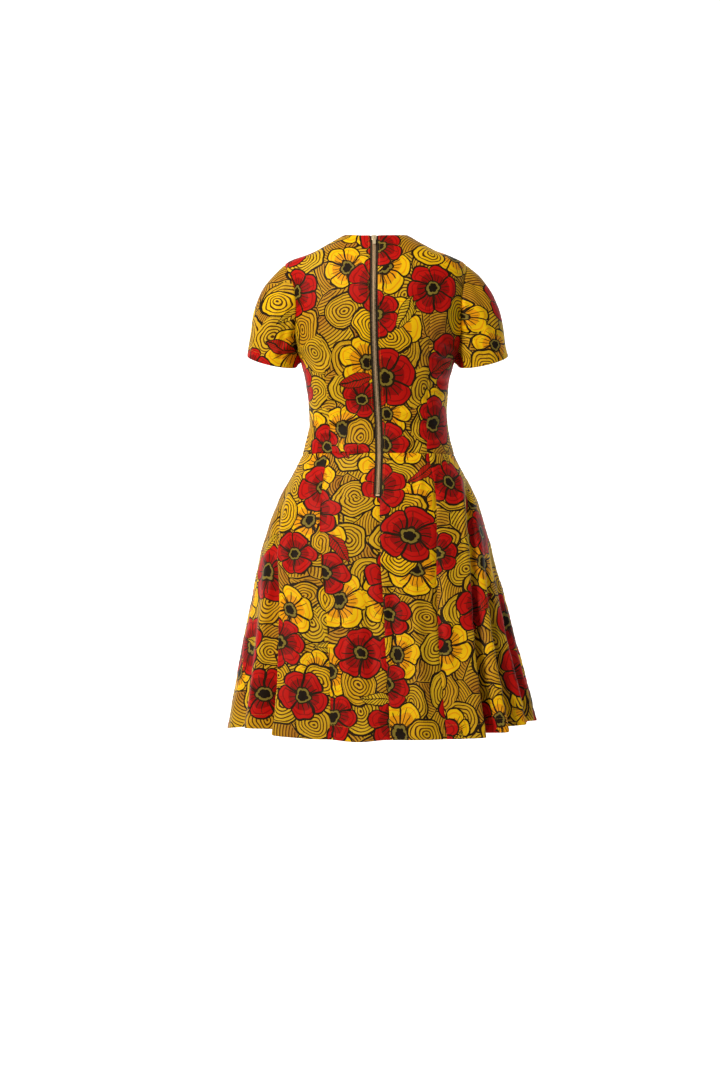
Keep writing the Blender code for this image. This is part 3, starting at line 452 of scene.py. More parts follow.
def crease_relief(point, rows):
    """Sum of creases.  Each has the profile (1 - q^2) exp(-q^2) across, with q the distance
    over the width, and swells from nothing at one end to nothing at the other."""
    relief = np.zeros(point.shape[:-1])
    for values in rows:
        row = dict(zip(CREASE_COLUMNS, values))
        along, across = along_line(point, row)
        middle = np.clip(4.0 * along * (1.0 - along), 0.0, 1.0)
        q = (across - row["bow"] * middle) / (row["width"] * (0.6 + 0.4 * middle))
        relief += row["height"] * middle**0.8 * (1.0 - q**2) * np.exp(-(q**2))
    return relief


def creases(point):
    """The creases of the back or of the front, fading out towards the sides of the body."""
    back, front = crease_relief(point, BACK_CREASES), crease_relief(point, FRONT_CREASES)
    clear_of_side = 1.0 - bell(point[..., 1], CREASE_FREE)
    return np.where(point[..., 1] > 0.0, back, front) * clear_of_side


def dart_nearness(point, rows):
    """How close points lie to a dart, 1 on its line, widening from nothing at the tip."""
    near = np.zeros(point.shape[:-1])
    for values in rows:
        along, across = along_line(point, dict(zip(DART_COLUMNS, values)))
        on = np.clip(along * 6.0, 0.0, 1.0) * (along < 1.05)
        near = np.maximum(near, on * bell(across, DART_WIDTH))
    return near


def seam_wave(along, phase):
    """Small uneven waves along a seam: a sine whose pace is itself swung by a slower sine."""
    pace = 2.0 * np.pi * along
    drift = 1.6 * np.sin(pace / PUCKER_DRIFT + phase)
    return PUCKER * np.sin(pace / PUCKER_PITCH + drift + phase)


def seam_relief(near, seams):
    """Cloth beside its seams: it dips into the nearest, and puckers fade away from each.
    `seams` holds the distance from a seam, the length along it and a phase for each."""
    puckers = 0.0
    for distance, along, phase in seams:
        near = np.maximum(near, bell(distance, SEAM_WIDTH))
        puckers = puckers + seam_wave(along, phase) * np.exp(-distance / PUCKER_REACH)
    return puckers * (1.0 - near) - SEAM_DEPTH * near


def turned_edge(distance, along, stitching, phase):
    """Cloth beside a turned-in edge: rounded over at the edge, drawn in along its stitching."""
    rounding = -EDGE_ROUNDING * bell(distance, EDGE_RADIUS)
    drawn = -STITCH_DIP * bell(distance - stitching, STITCH_DIP_WIDTH)
    waves = 0.6 * seam_wave(along, phase) * np.exp(-np.abs(distance - stitching) / 0.006)
    return rounding + drawn + waves * (1.0 - bell(distance, 0.002))


def turned_layers(distance, depth):
    """Layers of cloth beside a turned-in edge: two as far as the turning goes, then one."""
    return 1.0 + 1.0 / (1.0 + np.exp(np.clip((distance - depth) / LAYER_STEP, -30.0, 30.0)))


def unevenness(point):
    """Faint swells of worn cloth: three crossed sines, 50 to 110 mm long."""
    x, y, z = (2.0 * np.pi * point[..., axis] for axis in range(3))
    return SWELL * (
        np.sin(x / 0.083 + z / 0.210 + y / 0.120)
        + np.sin(z / 0.067 - x / 0.160 + 2.0)
        + 0.7 * np.sin(x / 0.051 + z / 0.057 - y / 0.090)
    )


# ---------------------------------------------------------------- cloth shells

def surface_normals(point, tube=False):
    """Outward normals of a grid whose columns run to the left and whose rows run down."""
    if tube:
        across = np.roll(point, -1, axis=1) - np.roll(point, 1, axis=1)
    else:
        across = np.gradient(point, axis=1)
    return unit(np.cross(across, np.gradient(point, axis=0)))


def crowded(count, share=0.6):
    """Shares from 0 to 1 in `count` steps, smaller towards both ends: t - share sin(2 pi t) /
    (2 pi), with the outer two steps at each end halved again."""
    even = np.linspace(0.0, 1.0, count + 1)
    even = np.concatenate([even[:3], 0.5 * (even[:2] + even[1:3]), even[3:-3], even[-3:],
                           0.5 * (even[-3:-1] + even[-2:])])
    even = np.sort(even)
    return even - share * np.sin(2.0 * np.pi * even) / (2.0 * np.pi)


def straight_cut(point, centre, tube=False):
    """Flat places of a piece cut on the straight grain: across, the length along the row from
    the centre column; up, the length of the column with its sideways part taken out."""
    if tube:
        point = np.concatenate([point, point[:, :1]], axis=1)
    across = lengths(point, 1)
    across = across - across[:, centre:centre + 1]
    step = np.linalg.norm(np.diff(point, axis=0), axis=-1)
    rise = np.sqrt(np.clip(step**2 - np.diff(across, axis=0) ** 2, 0.0, None))
    up = np.concatenate([np.cumsum(rise[::-1], axis=0)[::-1], 0.0 * rise[:1]])
    return np.stack([across, up], axis=-1)


def flared_cut(point, centre):
    """Flat places of a flared piece: its columns leave the waist edge square to it, and each
    turns from the next by their extra distance at the hem over their length."""
    down = lengths(point, 0)
    waist = np.linalg.norm(np.diff(point[0], axis=0), axis=-1)
    hem = np.linalg.norm(np.diff(point[-1], axis=0), axis=-1)
    turn = np.concatenate([[0.0], np.cumsum((hem - waist) / down[-1].mean())])
    turn -= turn[centre]
    middle = 0.5 * (turn[1:] + turn[:-1])
    x = np.concatenate([[0.0], np.cumsum(waist * np.cos(middle))])
    y = np.concatenate([[0.0], np.cumsum(waist * np.sin(middle))])
    x, y = x - x[centre], y - y[centre]
    return np.stack([x + down * np.sin(turn), y - down * np.cos(turn)], axis=-1)


def shell_mesh(name, outer, inner, flat, tube=False, taken_in=None):
    """Closed wall between an outer and an inner grid, with the flat cut as its UV map "cut".

    Corners are triples of layer, row and column.  On a tube the last column's corners use
    the first column's points with the flat places of a column of their own.  `taken_in` is how
    far a dart moves the cut sideways, for each row and each stretch between two columns.
    """
    rows, columns = outer.shape[:2]
    spans = columns if tube else columns - 1
    grids = np.meshgrid(np.arange(rows - 1), np.arange(spans), indexing="ij")
    row, col = (grid.ravel() for grid in grids)
    corner_rows = np.stack([row, row, row + 1, row + 1], axis=1)
    corner_cols = np.stack([col, col + 1, col + 1, col], axis=1)
    layers = [np.zeros_like(corner_rows), np.ones_like(corner_rows)]
    all_rows, all_cols = [corner_rows, corner_rows[:, ::-1]], [corner_cols, corner_cols[:, ::-1]]
    edges = [(0, np.arange(spans), True), (rows - 1, np.arange(spans), False)]
    for at_row, k, top in edges:
        first, second = (k + 1, k) if top else (k, k + 1)
        all_cols.append(np.stack([first, second, second, first], axis=1))
        all_rows.append(np.full((spans, 4), at_row))
        layers.append(np.tile([0, 0, 1, 1], (spans, 1)))
    if not tube:
        for at_col, left in ((0, True), (columns - 1, False)):
            k = np.arange(rows - 1)
            first, second = (k, k + 1) if left else (k + 1, k)
            all_rows.append(np.stack([first, second, second, first], axis=1))
            all_cols.append(np.full((rows - 1, 4), at_col))
            layers.append(np.tile([0, 0, 1, 1], (rows - 1, 1)))
    layers, all_rows, all_cols = (np.concatenate(part) for part in (layers, all_rows, all_cols))
    corner = layers * rows * columns + all_rows * columns + all_cols % columns
    points = np.concatenate([outer.reshape(-1, 3), inner.reshape(-1, 3)])
    mesh = bpy.data.meshes.new(name)
    mesh.from_pydata(points.tolist(), [], corner.tolist())
    places = flat[all_rows, all_cols]
    if taken_in is not None:
        places[..., 0] += taken_in[all_rows, all_cols.min(axis=1)[:, None]]
    cut = mesh.uv_layers.new(name="cut")
    cut.data.foreach_set("uv", places.ravel())
    mesh.shade_smooth()
    mesh.set_sharp_from_angle(angle=math.radians(60.0))
    return mesh


def dressed(name, mesh, body, slot, material, *nodes):
    """Put a mesh into the scene as a piece of the dress, in place of its solids."""
    piece = bpy.data.objects.new(name, mesh)
    bpy.context.scene.collection.objects.link(piece)
    mesh.materials.append(material)
    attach(piece, body)
    if nodes:
        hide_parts(*nodes)
    return piece


SURFACES = {}               # outer grid of each cloth piece made so far
BELOW_ALL = -2.0            # lowest height of a line of stitching that runs its whole way


def line_beside(outer, normal, edge, distance, tube):
    """The line on a piece that runs a distance inside its "first", "last" or "hem" edge."""
    if edge in ("first", "last"):
        outer, normal = outer.swapaxes(0, 1), normal.swapaxes(0, 1)
    if edge in ("last", "hem"):
        outer, normal = outer[::-1], normal[::-1]
    inside = lengths(outer, 0)
    beyond = np.argmax(inside > distance, axis=0)
    k = np.arange(outer.shape[1])
    share = (distance - inside[beyond - 1, k]) / (inside[beyond, k] - inside[beyond - 1, k])
    share = share[:, None]
    point = outer[beyond - 1, k] * (1.0 - share) + outer[beyond, k] * share
    normal = unit(normal[beyond - 1, k] * (1.0 - share) + normal[beyond, k] * share)
    if tube:
        point, normal = np.append(point, point[:1], axis=0), np.append(normal, normal[:1], axis=0)
    return point, normal


def stitching(name, lines, thread):
    """Machine stitches along lines on the cloth, joined in one mesh: each is a little roll of
    thread, five rings of six points, whose two ends go down into the cloth."""
    ring, turn = np.meshgrid(np.linspace(-1.0, 1.0, 5), np.arange(6) * np.pi / 3.0, indexing="ij")
    swell = np.sqrt(1.0 - 0.6 * ring**2)
    template = np.stack([
        0.5 * STITCH_LENGTH * ring,
        0.5 * THREAD * swell * np.cos(turn),
        0.5 * THREAD * swell * np.sin(turn) + 0.25 * THREAD - 0.75 * THREAD * ring**4,
    ], axis=-1).reshape(-1, 3)
    points = []
    for point, normal in lines:
        along = np.concatenate([[0.0], np.cumsum(np.linalg.norm(np.diff(point, axis=0), axis=1))])
        count = int(along[-1] / STITCH_PITCH)
        at = (np.arange(count) + 0.5) * along[-1] / count
        middle, out, before, after = (
            np.stack([np.interp(at + shift, along, grid[:, axis]) for axis in range(3)], axis=-1)
            for grid, shift in ((point, 0.0), (normal, 0.0), (point, -0.001), (point, 0.001))
        )
        way, out = unit(after - before), unit(out)
        points.append(placed(template, middle, way, np.cross(out, way), out))
    mesh = joined(name, np.concatenate(points), ring_faces(5, 6))
    return dressed(name, mesh, DRESS, None, thread)


def ring_faces(rings, size, closed=False):
    """Four-sided faces between rings of so many points; `closed` joins the last to the first."""
    ring, k = np.meshgrid(np.arange(rings if closed else rings - 1), np.arange(size), indexing="ij")
    near, far, after = ring * size, (ring + 1) % rings * size, (k + 1) % size
    return np.stack([near + k, near + after, far + after, far + k], axis=-1).reshape(-1, 4)


def placed(template, middle, x_way, y_way, z_way):
    """Copies of a template of points, one in each of the given frames."""
    return middle[:, None] + sum(
        template[None, :, axis, None] * way[:, None]
        for axis, way in enumerate((x_way, y_way, z_way))
    )


def joined(name, copies, faces, smooth=60.0):
    """One mesh from many copies of a small one."""
    count, size = copies.shape[:2]
    all_faces = (faces[None] + (np.arange(count) * size)[:, None, None]).reshape(-1, faces.shape[1])
    mesh = bpy.data.meshes.new(name)
    mesh.from_pydata(copies.reshape(-1, 3).tolist(), [], all_faces.tolist())
    mesh.shade_smooth()
    mesh.set_sharp_from_angle(angle=math.radians(smooth))
    return mesh


def cloth_piece(node, form, flat, relief, layers, lay, materials, stitched, tube=False,
                taken_in=None):
    """One cut piece: its form moved out by the relief, and a wall of so many layers inwards.
    `lay` is where on the printed cloth it was cut: across and along.
    `stitched` lists its lines of stitching: edge, distance inside it, lowest height."""
    normal = surface_normals(form, tube)
    if not tube:
        normal[..., 2] *= np.clip(np.abs(form[..., 2] - WAIST_SEAM) / LEVEL_OUT, 0.0, 1.0)
        normal = unit(normal)
    outer = form + normal * relief[..., None]
    if tube:
        outer = sewn_into_armhole(node, outer)
    inward = surface_normals(outer, tube)
    inner = outer - inward * (CLOTH * layers)[..., None]
    SURFACES[node] = outer
    mesh = shell_mesh(node + "_cloth", outer, inner, flat + np.array(lay), tube, taken_in)
    cotton, thread = materials
    piece = dressed(node + "_cloth", mesh, DRESS, "waxed_cotton", cotton, node)
    lines = []
    for edge, distance, lowest in stitched:
        point, out = line_beside(outer, inward, edge, distance, tube)
        lines.append((point[point[:, 2] > lowest], out[point[:, 2] > lowest]))
    sewing = [stitching(node + "_stitching", lines, thread)] if lines else []
    return piece


# ---------------------------------------------------------------- bodice

SHOULDER_ROWS, ARMHOLE_ROWS, SIDE_ROWS = 18, 48, 54


def armhole_height(turn):
    """Height of the armhole's edge; turn 0 is the shoulder point, pi the underarm."""
    return 0.5 * (SHOULDER_POINT + UNDERARM) + 0.5 * (SHOULDER_POINT - UNDERARM) * np.cos(turn)


def bodice_rows():
    """Rows of the bodice from its neck down: height at the side, and turn of the armhole."""
    shoulder = NECK + (SHOULDER_POINT - NECK) * np.linspace(0.0, 1.0, SHOULDER_ROWS + 1)[:-1] ** 1.3
    turn = np.linspace(0.0, np.pi, ARMHOLE_ROWS + 1)
    side = np.linspace(0.0, 1.0, SIDE_ROWS + 1)[1:]
    side = UNDERARM + (WAIST_SEAM - UNDERARM) * (side + 0.75 * side * (1.0 - side))
    height = np.concatenate([shoulder, armhole_height(turn), side])
    return height, np.concatenate([0.0 * shoulder, turn, 0.0 * side])


def back_scoop(turn, side):
    """Angle by which the armhole cuts into the back."""
    return BACK_ARMHOLE_SCOOP[side] * np.sin(turn) * (1.0 + ARMHOLE_LEAN * np.cos(turn))


def front_scoop(turn):
    """Angle by which the armhole cuts into the front."""
    return FRONT_ARMHOLE_SCOOP * np.sin(turn)


def above_shoulder(height):
    """Share of the way from the shoulder point up to the neck point."""
    return np.clip((height - SHOULDER_POINT) / (NECK - SHOULDER_POINT), 0.0, 1.0)


def back_bodice(side, lay, materials):
    """Half of the back, from the zip's folded edge round to the side seam and the armhole."""
    height, turn = bodice_rows()
    centre_height = height - BACK_NECK_DROP * above_shoulder(height)
    inner_edge = np.abs(angle_at_x(zip_x(centre_height) + side * ZIP_WINDOW, centre_height))
    outer_edge = 0.5 * np.pi - back_scoop(turn, side)
    tip_x, tip_height, end_x, end_height = BACK_DARTS[side]
    dart_x = tip_x + (end_x - tip_x) * (height - tip_height) / (end_height - tip_height)
    dart_share = (np.abs(angle_at_x(dart_x, height)) - inner_edge) / (outer_edge - inner_edge)
    dart_share = np.interp(-height, -height[height < tip_height], dart_share[height < tip_height])
    to_dart = dart_share[:, None] * crowded(26)
    to_side = dart_share[:, None] + (1.0 - dart_share)[:, None] * crowded(26)[1:]
    share = np.concatenate([to_dart, to_side], axis=1)
    angle = inner_edge[:, None] + (outer_edge - inner_edge)[:, None] * share
    drop = BACK_NECK_DROP * above_shoulder(height)[:, None] * np.cos(angle) ** 2
    level = height[:, None] - drop
    if side < 0.0:
        angle, level = -angle[:, ::-1], level[:, ::-1]
    form = bodice_point(angle, level)
    down, across = lengths(form, 0), lengths(form, 1)
    from_zip, from_side = across, across[:, -1:] - across
    if side < 0.0:
        from_zip, from_side = from_side, from_zip
    # the dart follows the middle column and closes in from its tip
    columns = form.shape[1]
    dart = columns // 2
    below_tip = np.clip((tip_height - height) / (tip_height - end_height), 0.0, 1.0)
    from_dart = np.abs(across - across[:, dart:dart + 1])
    near = np.clip(12.0 * below_tip, 0.0, 1.0)[:, None] * bell(from_dart, SEAM_WIDTH)
    beyond = np.arange(columns) >= dart if side > 0.0 else np.arange(columns) < dart
    taken_in = side * DART_INTAKE * below_tip[:, None] * beyond
    seams = [(from_side, down, 1.0 + side), (down[-1] - down, across, 2.0)]
    relief = seam_relief(near, seams) + creases(form) + unevenness(form)
    relief += turned_edge(from_zip, down, ZIP_STITCHING, 0.5 * side)
    relief += turned_edge(down, across, NECK_STITCHING, 4.0)
    layers = np.maximum(turned_layers(from_zip, ZIP_TURNING), turned_layers(down, NECK_TURNING))
    node = "back_bodice_" + SIDE_NAMES[side]
    flat = straight_cut(form, 0 if side > 0.0 else columns - 1)
    return cloth_piece(node, form, flat, relief, layers, lay, materials,
                       [("first" if side > 0.0 else "last", ZIP_STITCHING, WAIST_SEAM)],
                       taken_in=taken_in)


def front_bodice(lay, materials):
    """The front in one piece.  Low rows are evenly spaced and level, high rows take the
    spacing and the dip of the round neck edge."""
    height, turn = bodice_rows()
    side_angle = 0.5 * np.pi + front_scoop(turn)
    rise = (height - WAIST_SEAM) / (NECK - WAIST_SEAM)
    centre_height = height - FRONT_NECK_DROP * rise
    share = np.linspace(0.0, 1.0, 49)
    share = np.sort(np.concatenate([share, 0.5 * (share[:3] + share[1:4])]))
    turn_in = 0.5 * np.pi * share**NECK_SPACING
    neck_height = -FRONT_NECK_DROP * np.cos(turn_in)
    neck_angle = np.pi - angle_at_x(NECK_CENTRE_X + NECK_HALF_WIDTH * np.sin(turn_in), neck_height)
    neck_share = (neck_angle - 0.5 * np.pi) / (0.5 * np.pi)
    # the share runs from the centre front, where the neck edge is lowest, to the side
    like_neck = (rise**3)[:, None]
    spacing = (1.0 - like_neck) * (1.0 - share) + like_neck * neck_share
    dip = (1.0 - like_neck) * (1.0 - share) + like_neck * np.cos(turn_in)
    angle = side_angle[:, None] + (np.pi - side_angle)[:, None] * spacing
    level = height[:, None] + (centre_height - height)[:, None] * dip
    angle = np.concatenate([angle[:, ::-1], 2.0 * np.pi - angle[:, 1:]], axis=1)
    level = np.concatenate([level[:, ::-1], level[:, 1:]], axis=1)
    form = bodice_point(angle, level)
    down, across = lengths(form, 0), lengths(form, 1)
    from_right = across[:, -1:] - across
    seams = [(across, down, 2.0), (from_right, down, 0.0), (down[-1] - down, across, 3.0)]
    relief = seam_relief(dart_nearness(form, FRONT_DARTS), seams) + creases(form)
    relief += unevenness(form) + turned_edge(down, across, NECK_STITCHING, 5.0)
    layers = turned_layers(down, NECK_TURNING)
    flat = straight_cut(form, form.shape[1] // 2)
    return cloth_piece("front_bodice", form, flat, relief, layers, lay, materials, [])


# ---------------------------------------------------------------- sleeves

# Creases of the sleeves, in the same columns, with x0 and x1 measured from the centre.
SLEEVE_CREASES = {
    1.0: (
        (0.176, -0.086, 0.222, -0.236, 0.006, 0.0110, 0.0034),
        (0.166, -0.140, 0.196, -0.268, 0.004, 0.0090, -0.0032),
        (0.190, -0.090, 0.252, -0.212, 0.005, 0.0105, -0.0026),
        (0.162, -0.214, 0.212, -0.248, -0.004, 0.0075, 0.0030),
        (0.226, -0.140, 0.254, -0.244, 0.003, 0.0085, 0.0022),
    ),
    -1.0: (
        (0.172, -0.100, 0.208, -0.252, -0.006, 0.0100, 0.0038),
        (0.184, -0.082, 0.240, -0.204, 0.005, 0.0110, -0.0030),
        (0.160, -0.196, 0.220, -0.238, 0.004, 0.0075, -0.0034),
        (0.164, -0.224, 0.204, -0.268, 0.003, 0.0070, 0.0030),
        (0.216, -0.160, 0.242, -0.256, -0.003, 0.0085, 0.0022),
    ),
}
FRONT_SLEEVE_DROP = 0.012   # the front's creases lie this much lower than the back's


def cuff_point(turn, side):
    """Point of the sleeve's hem: a tilted oval that hangs lower behind the arm."""
    across, deep = CUFF_HALF_WIDTH * np.cos(turn), CUFF_HALF_DEPTH * np.sin(turn)
    droop = np.where(deep > 0.0, CUFF_BACK_DROP, CUFF_FRONT_RISE) * np.sin(turn)
    x = side * (CUFF_CENTRE[0] + across * math.cos(CUFF_TILT)) + BODY_LEAN
    z = CUFF_CENTRE[2] + across * math.sin(CUFF_TILT) - droop
    return np.stack([x, CUFF_CENTRE[1] + deep, z], axis=-1)


def sleeve_point(turn, part, side):
    """Point of a sleeve: a cubic from the armhole, where it leaves towards its cuff with the
    cap leaning outwards, to the cuff, where it arrives along the arm."""
    behind = turn <= np.pi
    half_turn = np.where(behind, turn, 2.0 * np.pi - turn)
    scoop = np.where(behind, -back_scoop(half_turn, side), front_scoop(half_turn))
    start = bodice_point(side * (0.5 * np.pi + scoop), armhole_height(half_turn))
    end = cuff_point(turn, side)
    lift = np.stack([
        side * CAP_LIFT * np.clip(np.cos(turn), 0.0, 1.0), CAP_ROUND * np.sin(turn), 0.0 * turn
    ], axis=-1)
    leave = unit(unit(end - start) + lift)
    arrive = np.array([side * math.sin(CUFF_TILT), 0.0, -math.cos(CUFF_TILT)])
    length = np.linalg.norm(end - start, axis=-1, keepdims=True)
    part = np.asarray(part, float)[..., None]
    return (
        start * (1 + 2 * part) * (1 - part) ** 2
        + leave * length * START_FULLNESS * part * (1 - part) ** 2
        + end * part * part * (3 - 2 * part)
        + arrive * length * END_FULLNESS * part * part * (part - 1)
    )


def sewn_into_armhole(node, outer):
    """Bring the top edge of a sleeve onto the armhole's edge, and ease what is below it."""
    side_name = node.split("_")[1]
    side = 1.0 if side_name == "left" else -1.0
    rows = slice(SHOULDER_ROWS, SHOULDER_ROWS + ARMHOLE_ROWS + 1)
    back = SURFACES["back_bodice_" + side_name][rows, -1 if side > 0.0 else 0]
    front = SURFACES["front_bodice"][rows, 0 if side > 0.0 else -1]
    edge = np.concatenate([back, front[-2:0:-1]])
    if side > 0.0:
        edge = edge[::-1]
    down = lengths(outer, 0)
    return outer + (edge - outer[0]) * bell(down, 0.006)[..., None]


def sleeve(side, lay, materials):
    """A set-in short sleeve with its hem turned in."""
    turn = np.linspace(0.0, 2.0 * np.pi, 2 * ARMHOLE_ROWS + 1)[:-1]
    if side > 0.0:
        turn = turn[::-1]
    part = crowded(46, 0.5)
    turn, part = np.meshgrid(turn, part)
    form = sleeve_point(turn, part, side)
    down, across = lengths(form, 0), lengths(form, 1)
    from_hem = down[-1] - down
    seen = form * np.array([side, 1.0, 1.0])
    lower = seen + np.array([0.0, 0.0, FRONT_SLEEVE_DROP])
    behind = crease_relief(seen, SLEEVE_CREASES[side])
    before = crease_relief(lower, SLEEVE_CREASES[-side])
    clear_of_side = 1.0 - bell(form[..., 1], SLEEVE_CREASE_FREE)
    relief = seam_relief(0.0 * down, [(down, across, 1.5)]) + unevenness(form)
    relief += np.where(form[..., 1] > 0.0, behind, before) * clear_of_side
    relief += turned_edge(from_hem, across, CUFF_STITCHING, 2.5 + side)
    layers = turned_layers(from_hem, CUFF_DEPTH)
    flat = straight_cut(form, ARMHOLE_ROWS, tube=True)
    return cloth_piece("sleeve_" + SIDE_NAMES[side], form, flat, relief, layers, lay,
                       materials, [("hem", CUFF_STITCHING, BELOW_ALL)], tube=True)


# ---------------------------------------------------------------- skirt

EDGE_PHASES = {"first": 6.0, "last": 5.0}       # of the puckers along a piece's two long seams


def skirt_columns(first_line, last_line, steps):
    """Grain lines of a piece's columns, so many to each stretch between two folds, with
    smaller steps beside the seams."""
    hems = column(LINE_COLUMNS, SKIRT_LINES, "hem_angle")
    hems = np.unique(np.append(hems, hems + 360.0))
    rows = hems[(hems >= first_line) & (hems <= last_line)]
    between = np.linspace(0.0, 1.0, steps + 1)[:-1]
    lines = np.append((rows[:-1, None] + np.diff(rows)[:, None] * between).ravel(), rows[-1])
    parts = np.array([0.15, 0.32, 0.52, 0.74])
    first, last = lines[1] - lines[0], lines[-1] - lines[-2]
    return np.sort(np.concatenate([lines, lines[0] + first * parts, lines[-1] - last * parts]))


def skirt_fall():
    """Rows of the skirt, closer together above the end of the zip and at both edges."""
    upper = 0.155 * np.linspace(0.0, 1.0, 25) ** 1.35
    lower = 0.1625 + 0.8375 * np.linspace(0.0, 1.0, 112)
    hem = lower[-3] + (1.0 - lower[-3]) * np.array([0.25, 0.65, 0.78, 0.86, 0.92, 0.97])
    return np.sort(np.concatenate([upper, lower, hem]))


def skirt_piece(node, line, centre, seam_edges, zip_edge, lay, materials):
    """A piece of the skirt from its grid of grain lines: `seam_edges` names the edges that
    are sewn to another piece, and `zip_edge` the one that is folded back along the zip."""
    fall = np.broadcast_to(skirt_fall()[:, None], line.shape)
    form = skirt_point(line, fall)
    down, across = lengths(form, 0), lengths(form, 1)
    from_edge = {"first": across, "last": across[:, -1:] - across}
    from_hem = down[-1] - down
    seams = [(down, across, 2.0)]
    seams += [(from_edge[edge], down, EDGE_PHASES[edge]) for edge in seam_edges]
    layers = turned_layers(from_hem, HEM_DEPTH)
    # the length of its name gives each piece's hem waves of its own
    relief = turned_edge(from_hem, across, HEM_STITCHING, float(len(node)))
    if zip_edge:
        along_zip = form[..., 2] > ZIP_END - WIDEN_BELOW_ZIP
        distance = np.where(along_zip, from_edge[zip_edge], 1.0)
        relief += turned_edge(distance, down, ZIP_STITCHING, 0.4)
        beside_zip = np.where(along_zip, turned_layers(distance, ZIP_TURNING), 1.0)
        layers = np.maximum(layers, beside_zip)
        below = np.where(along_zip, 1.0, from_edge[zip_edge])
        seams.append((below, down, 3.5))
    relief += seam_relief(0.0 * down, seams) + creases(form) + unevenness(form)
    stitched = [("hem", HEM_STITCHING, BELOW_ALL)]
    if zip_edge:
        stitched.append((zip_edge, ZIP_STITCHING, ZIP_END))
    return cloth_piece(node, form, flared_cut(form, centre), relief, layers, lay,
                       materials, stitched)


def seamed_skirt(node, first_line, last_line, lay, materials):
    """A piece of the skirt between two seam lines: a back side piece, or the whole front."""
    columns = skirt_columns(first_line, last_line, 12)
    line = np.tile(columns, (len(skirt_fall()), 1))
    return skirt_piece(node, line, len(columns) // 2, ("first", "last"), None, lay, materials)


def centre_skirt(side, lay, materials):
    """A back centre piece: its edge is folded back along the zip, then follows the seam."""
    fall = skirt_fall()
    height = WAIST_SEAM + fall * (HEM - WAIST_SEAM)
    gore_line = LEFT_GORE_LINE if side > 0.0 else RIGHT_GORE_LINE
    beside_zip = line_at_x(zip_x(height) + side * ZIP_WINDOW, fall)
    edge = np.where(height > ZIP_END - WIDEN_BELOW_ZIP, beside_zip, CENTRE_BACK_LINE)
    whole = skirt_columns(min(CENTRE_BACK_LINE, gore_line), max(CENTRE_BACK_LINE, gore_line), 22)
    share = (whole - gore_line) / (CENTRE_BACK_LINE - gore_line)
    line = gore_line + (edge - gore_line)[:, None] * share
    ends = ("last", "first") if side > 0.0 else ("first", "last")
    name = SIDE_NAMES[side]
    return skirt_piece("back_skirt_centre_" + name, line, len(whole) // 2, ends[:1], ends[1],
                       lay, materials)


# ---------------------------------------------------------------- zip

CHAIN_HALF_WIDTH, CHAIN_RISE, CHAIN_FOOT = 0.0038, 0.0010, -0.0015
CHAIN_END = -0.5323
TOOTH_PITCH = 0.0025        # from one tooth to the next of the same row
SLIDER_START, SLIDER_LENGTH, SLIDER_SINK = -0.0090, 0.0125, -0.0014
SLIDER_WIDTH, SLIDER_HEIGHT = 0.0108, 0.0034
STOP_LENGTH = 0.0034
BRIDGE_WIDTH, BRIDGE_LENGTH, BRIDGE_RISE, BRIDGE_BAR = 0.0022, 0.0072, 0.0030, 0.0009
PULL_PIN_RISE = 0.0011
PULL_LENGTH, PULL_WIDTH, PULL_THICKNESS = 0.0190, 0.0064, 0.0012
PULL_EYE_WIDTH, PULL_EYE_LENGTH = 0.0034, 0.0048
TAPE_TOP = -0.0082
TURNED_OVER = [0, 3, 2, 1]  # order of a face's corners that makes it look the other way


def prism(outline, levels):
    """A block with an outline (x, y) whose rings lie at given heights, each drawn in towards
    the middle of the outline by its own share.  Returns its points and its four-sided faces;
    both ends close with a fan of such faces round their middle."""
    outline = np.asarray(outline, float)
    middle = 0.5 * (outline.min(axis=0) + outline.max(axis=0))
    size = np.ptp(outline, axis=0)
    rings = []
    for height, drawn_in in levels:
        ring = middle + (outline - middle) * (1.0 - 2.0 * drawn_in / size)
        rings.append(np.column_stack([ring, np.full(len(ring), height)]))
    points, n = np.concatenate(rings), len(outline)
    top = (len(levels) - 1) * n
    j = np.arange(n // 2 - 1)
    ends = np.stack([j, n - 1 - j, n - 2 - j, j + 1], axis=1)
    return points, np.concatenate([ring_faces(len(levels), n), ends, top + ends[:, ::-1]])


def rounded_oblong(width, length, corner, steps=6):
    """Outline of an oblong with round corners, counter-clockwise."""
    turn = np.linspace(0.0, 0.5 * np.pi, steps)
    outline = []
    for number, (x, y) in enumerate(((1, 1), (-1, 1), (-1, -1), (1, -1))):
        angle = turn + number * 0.5 * np.pi
        centre = np.array([x * (0.5 * width - corner), y * (0.5 * length - corner)])
        outline.append(centre + corner * np.column_stack([np.cos(angle), np.sin(angle)]))
    return np.concatenate(outline)


def zip_tape(side, lay, material):
    """Woven tape down one side of the zip, its outer face below the cloth's outer face."""
    height = np.linspace(TAPE_TOP, TAPE_END, 260)
    offset = np.linspace(0.0, TAPE_HALF_WIDTH, 9) * side
    if side < 0.0:
        offset = offset[::-1]
    x = zip_x(height)[:, None] + offset
    point, _, _, out = back_frames(x, np.broadcast_to(height[:, None], x.shape))
    outer, inner = point - TAPE_SINK * out, point - (TAPE_SINK + TAPE_WALL) * out
    node = "zip_tape_" + SIDE_NAMES[side]
    mesh = shell_mesh(node + "_cloth", outer, inner, straight_cut(outer, 0) + np.array(lay))
    piece = dressed(node + "_cloth", mesh, DRESS, "zip_tape", material, node)
    return piece


def slider_frame():
    """Middle of the slider on the cloth, and its ways across, up along the zip and out."""
    start = np.array([SLIDER_START])
    _, _, up, _ = back_frames(zip_x(start), start)
    height = start - 0.5 * SLIDER_LENGTH * up[:, 2]
    point, _, up, out = back_frames(zip_x(height), height)
    return point, np.cross(up, out), up, out


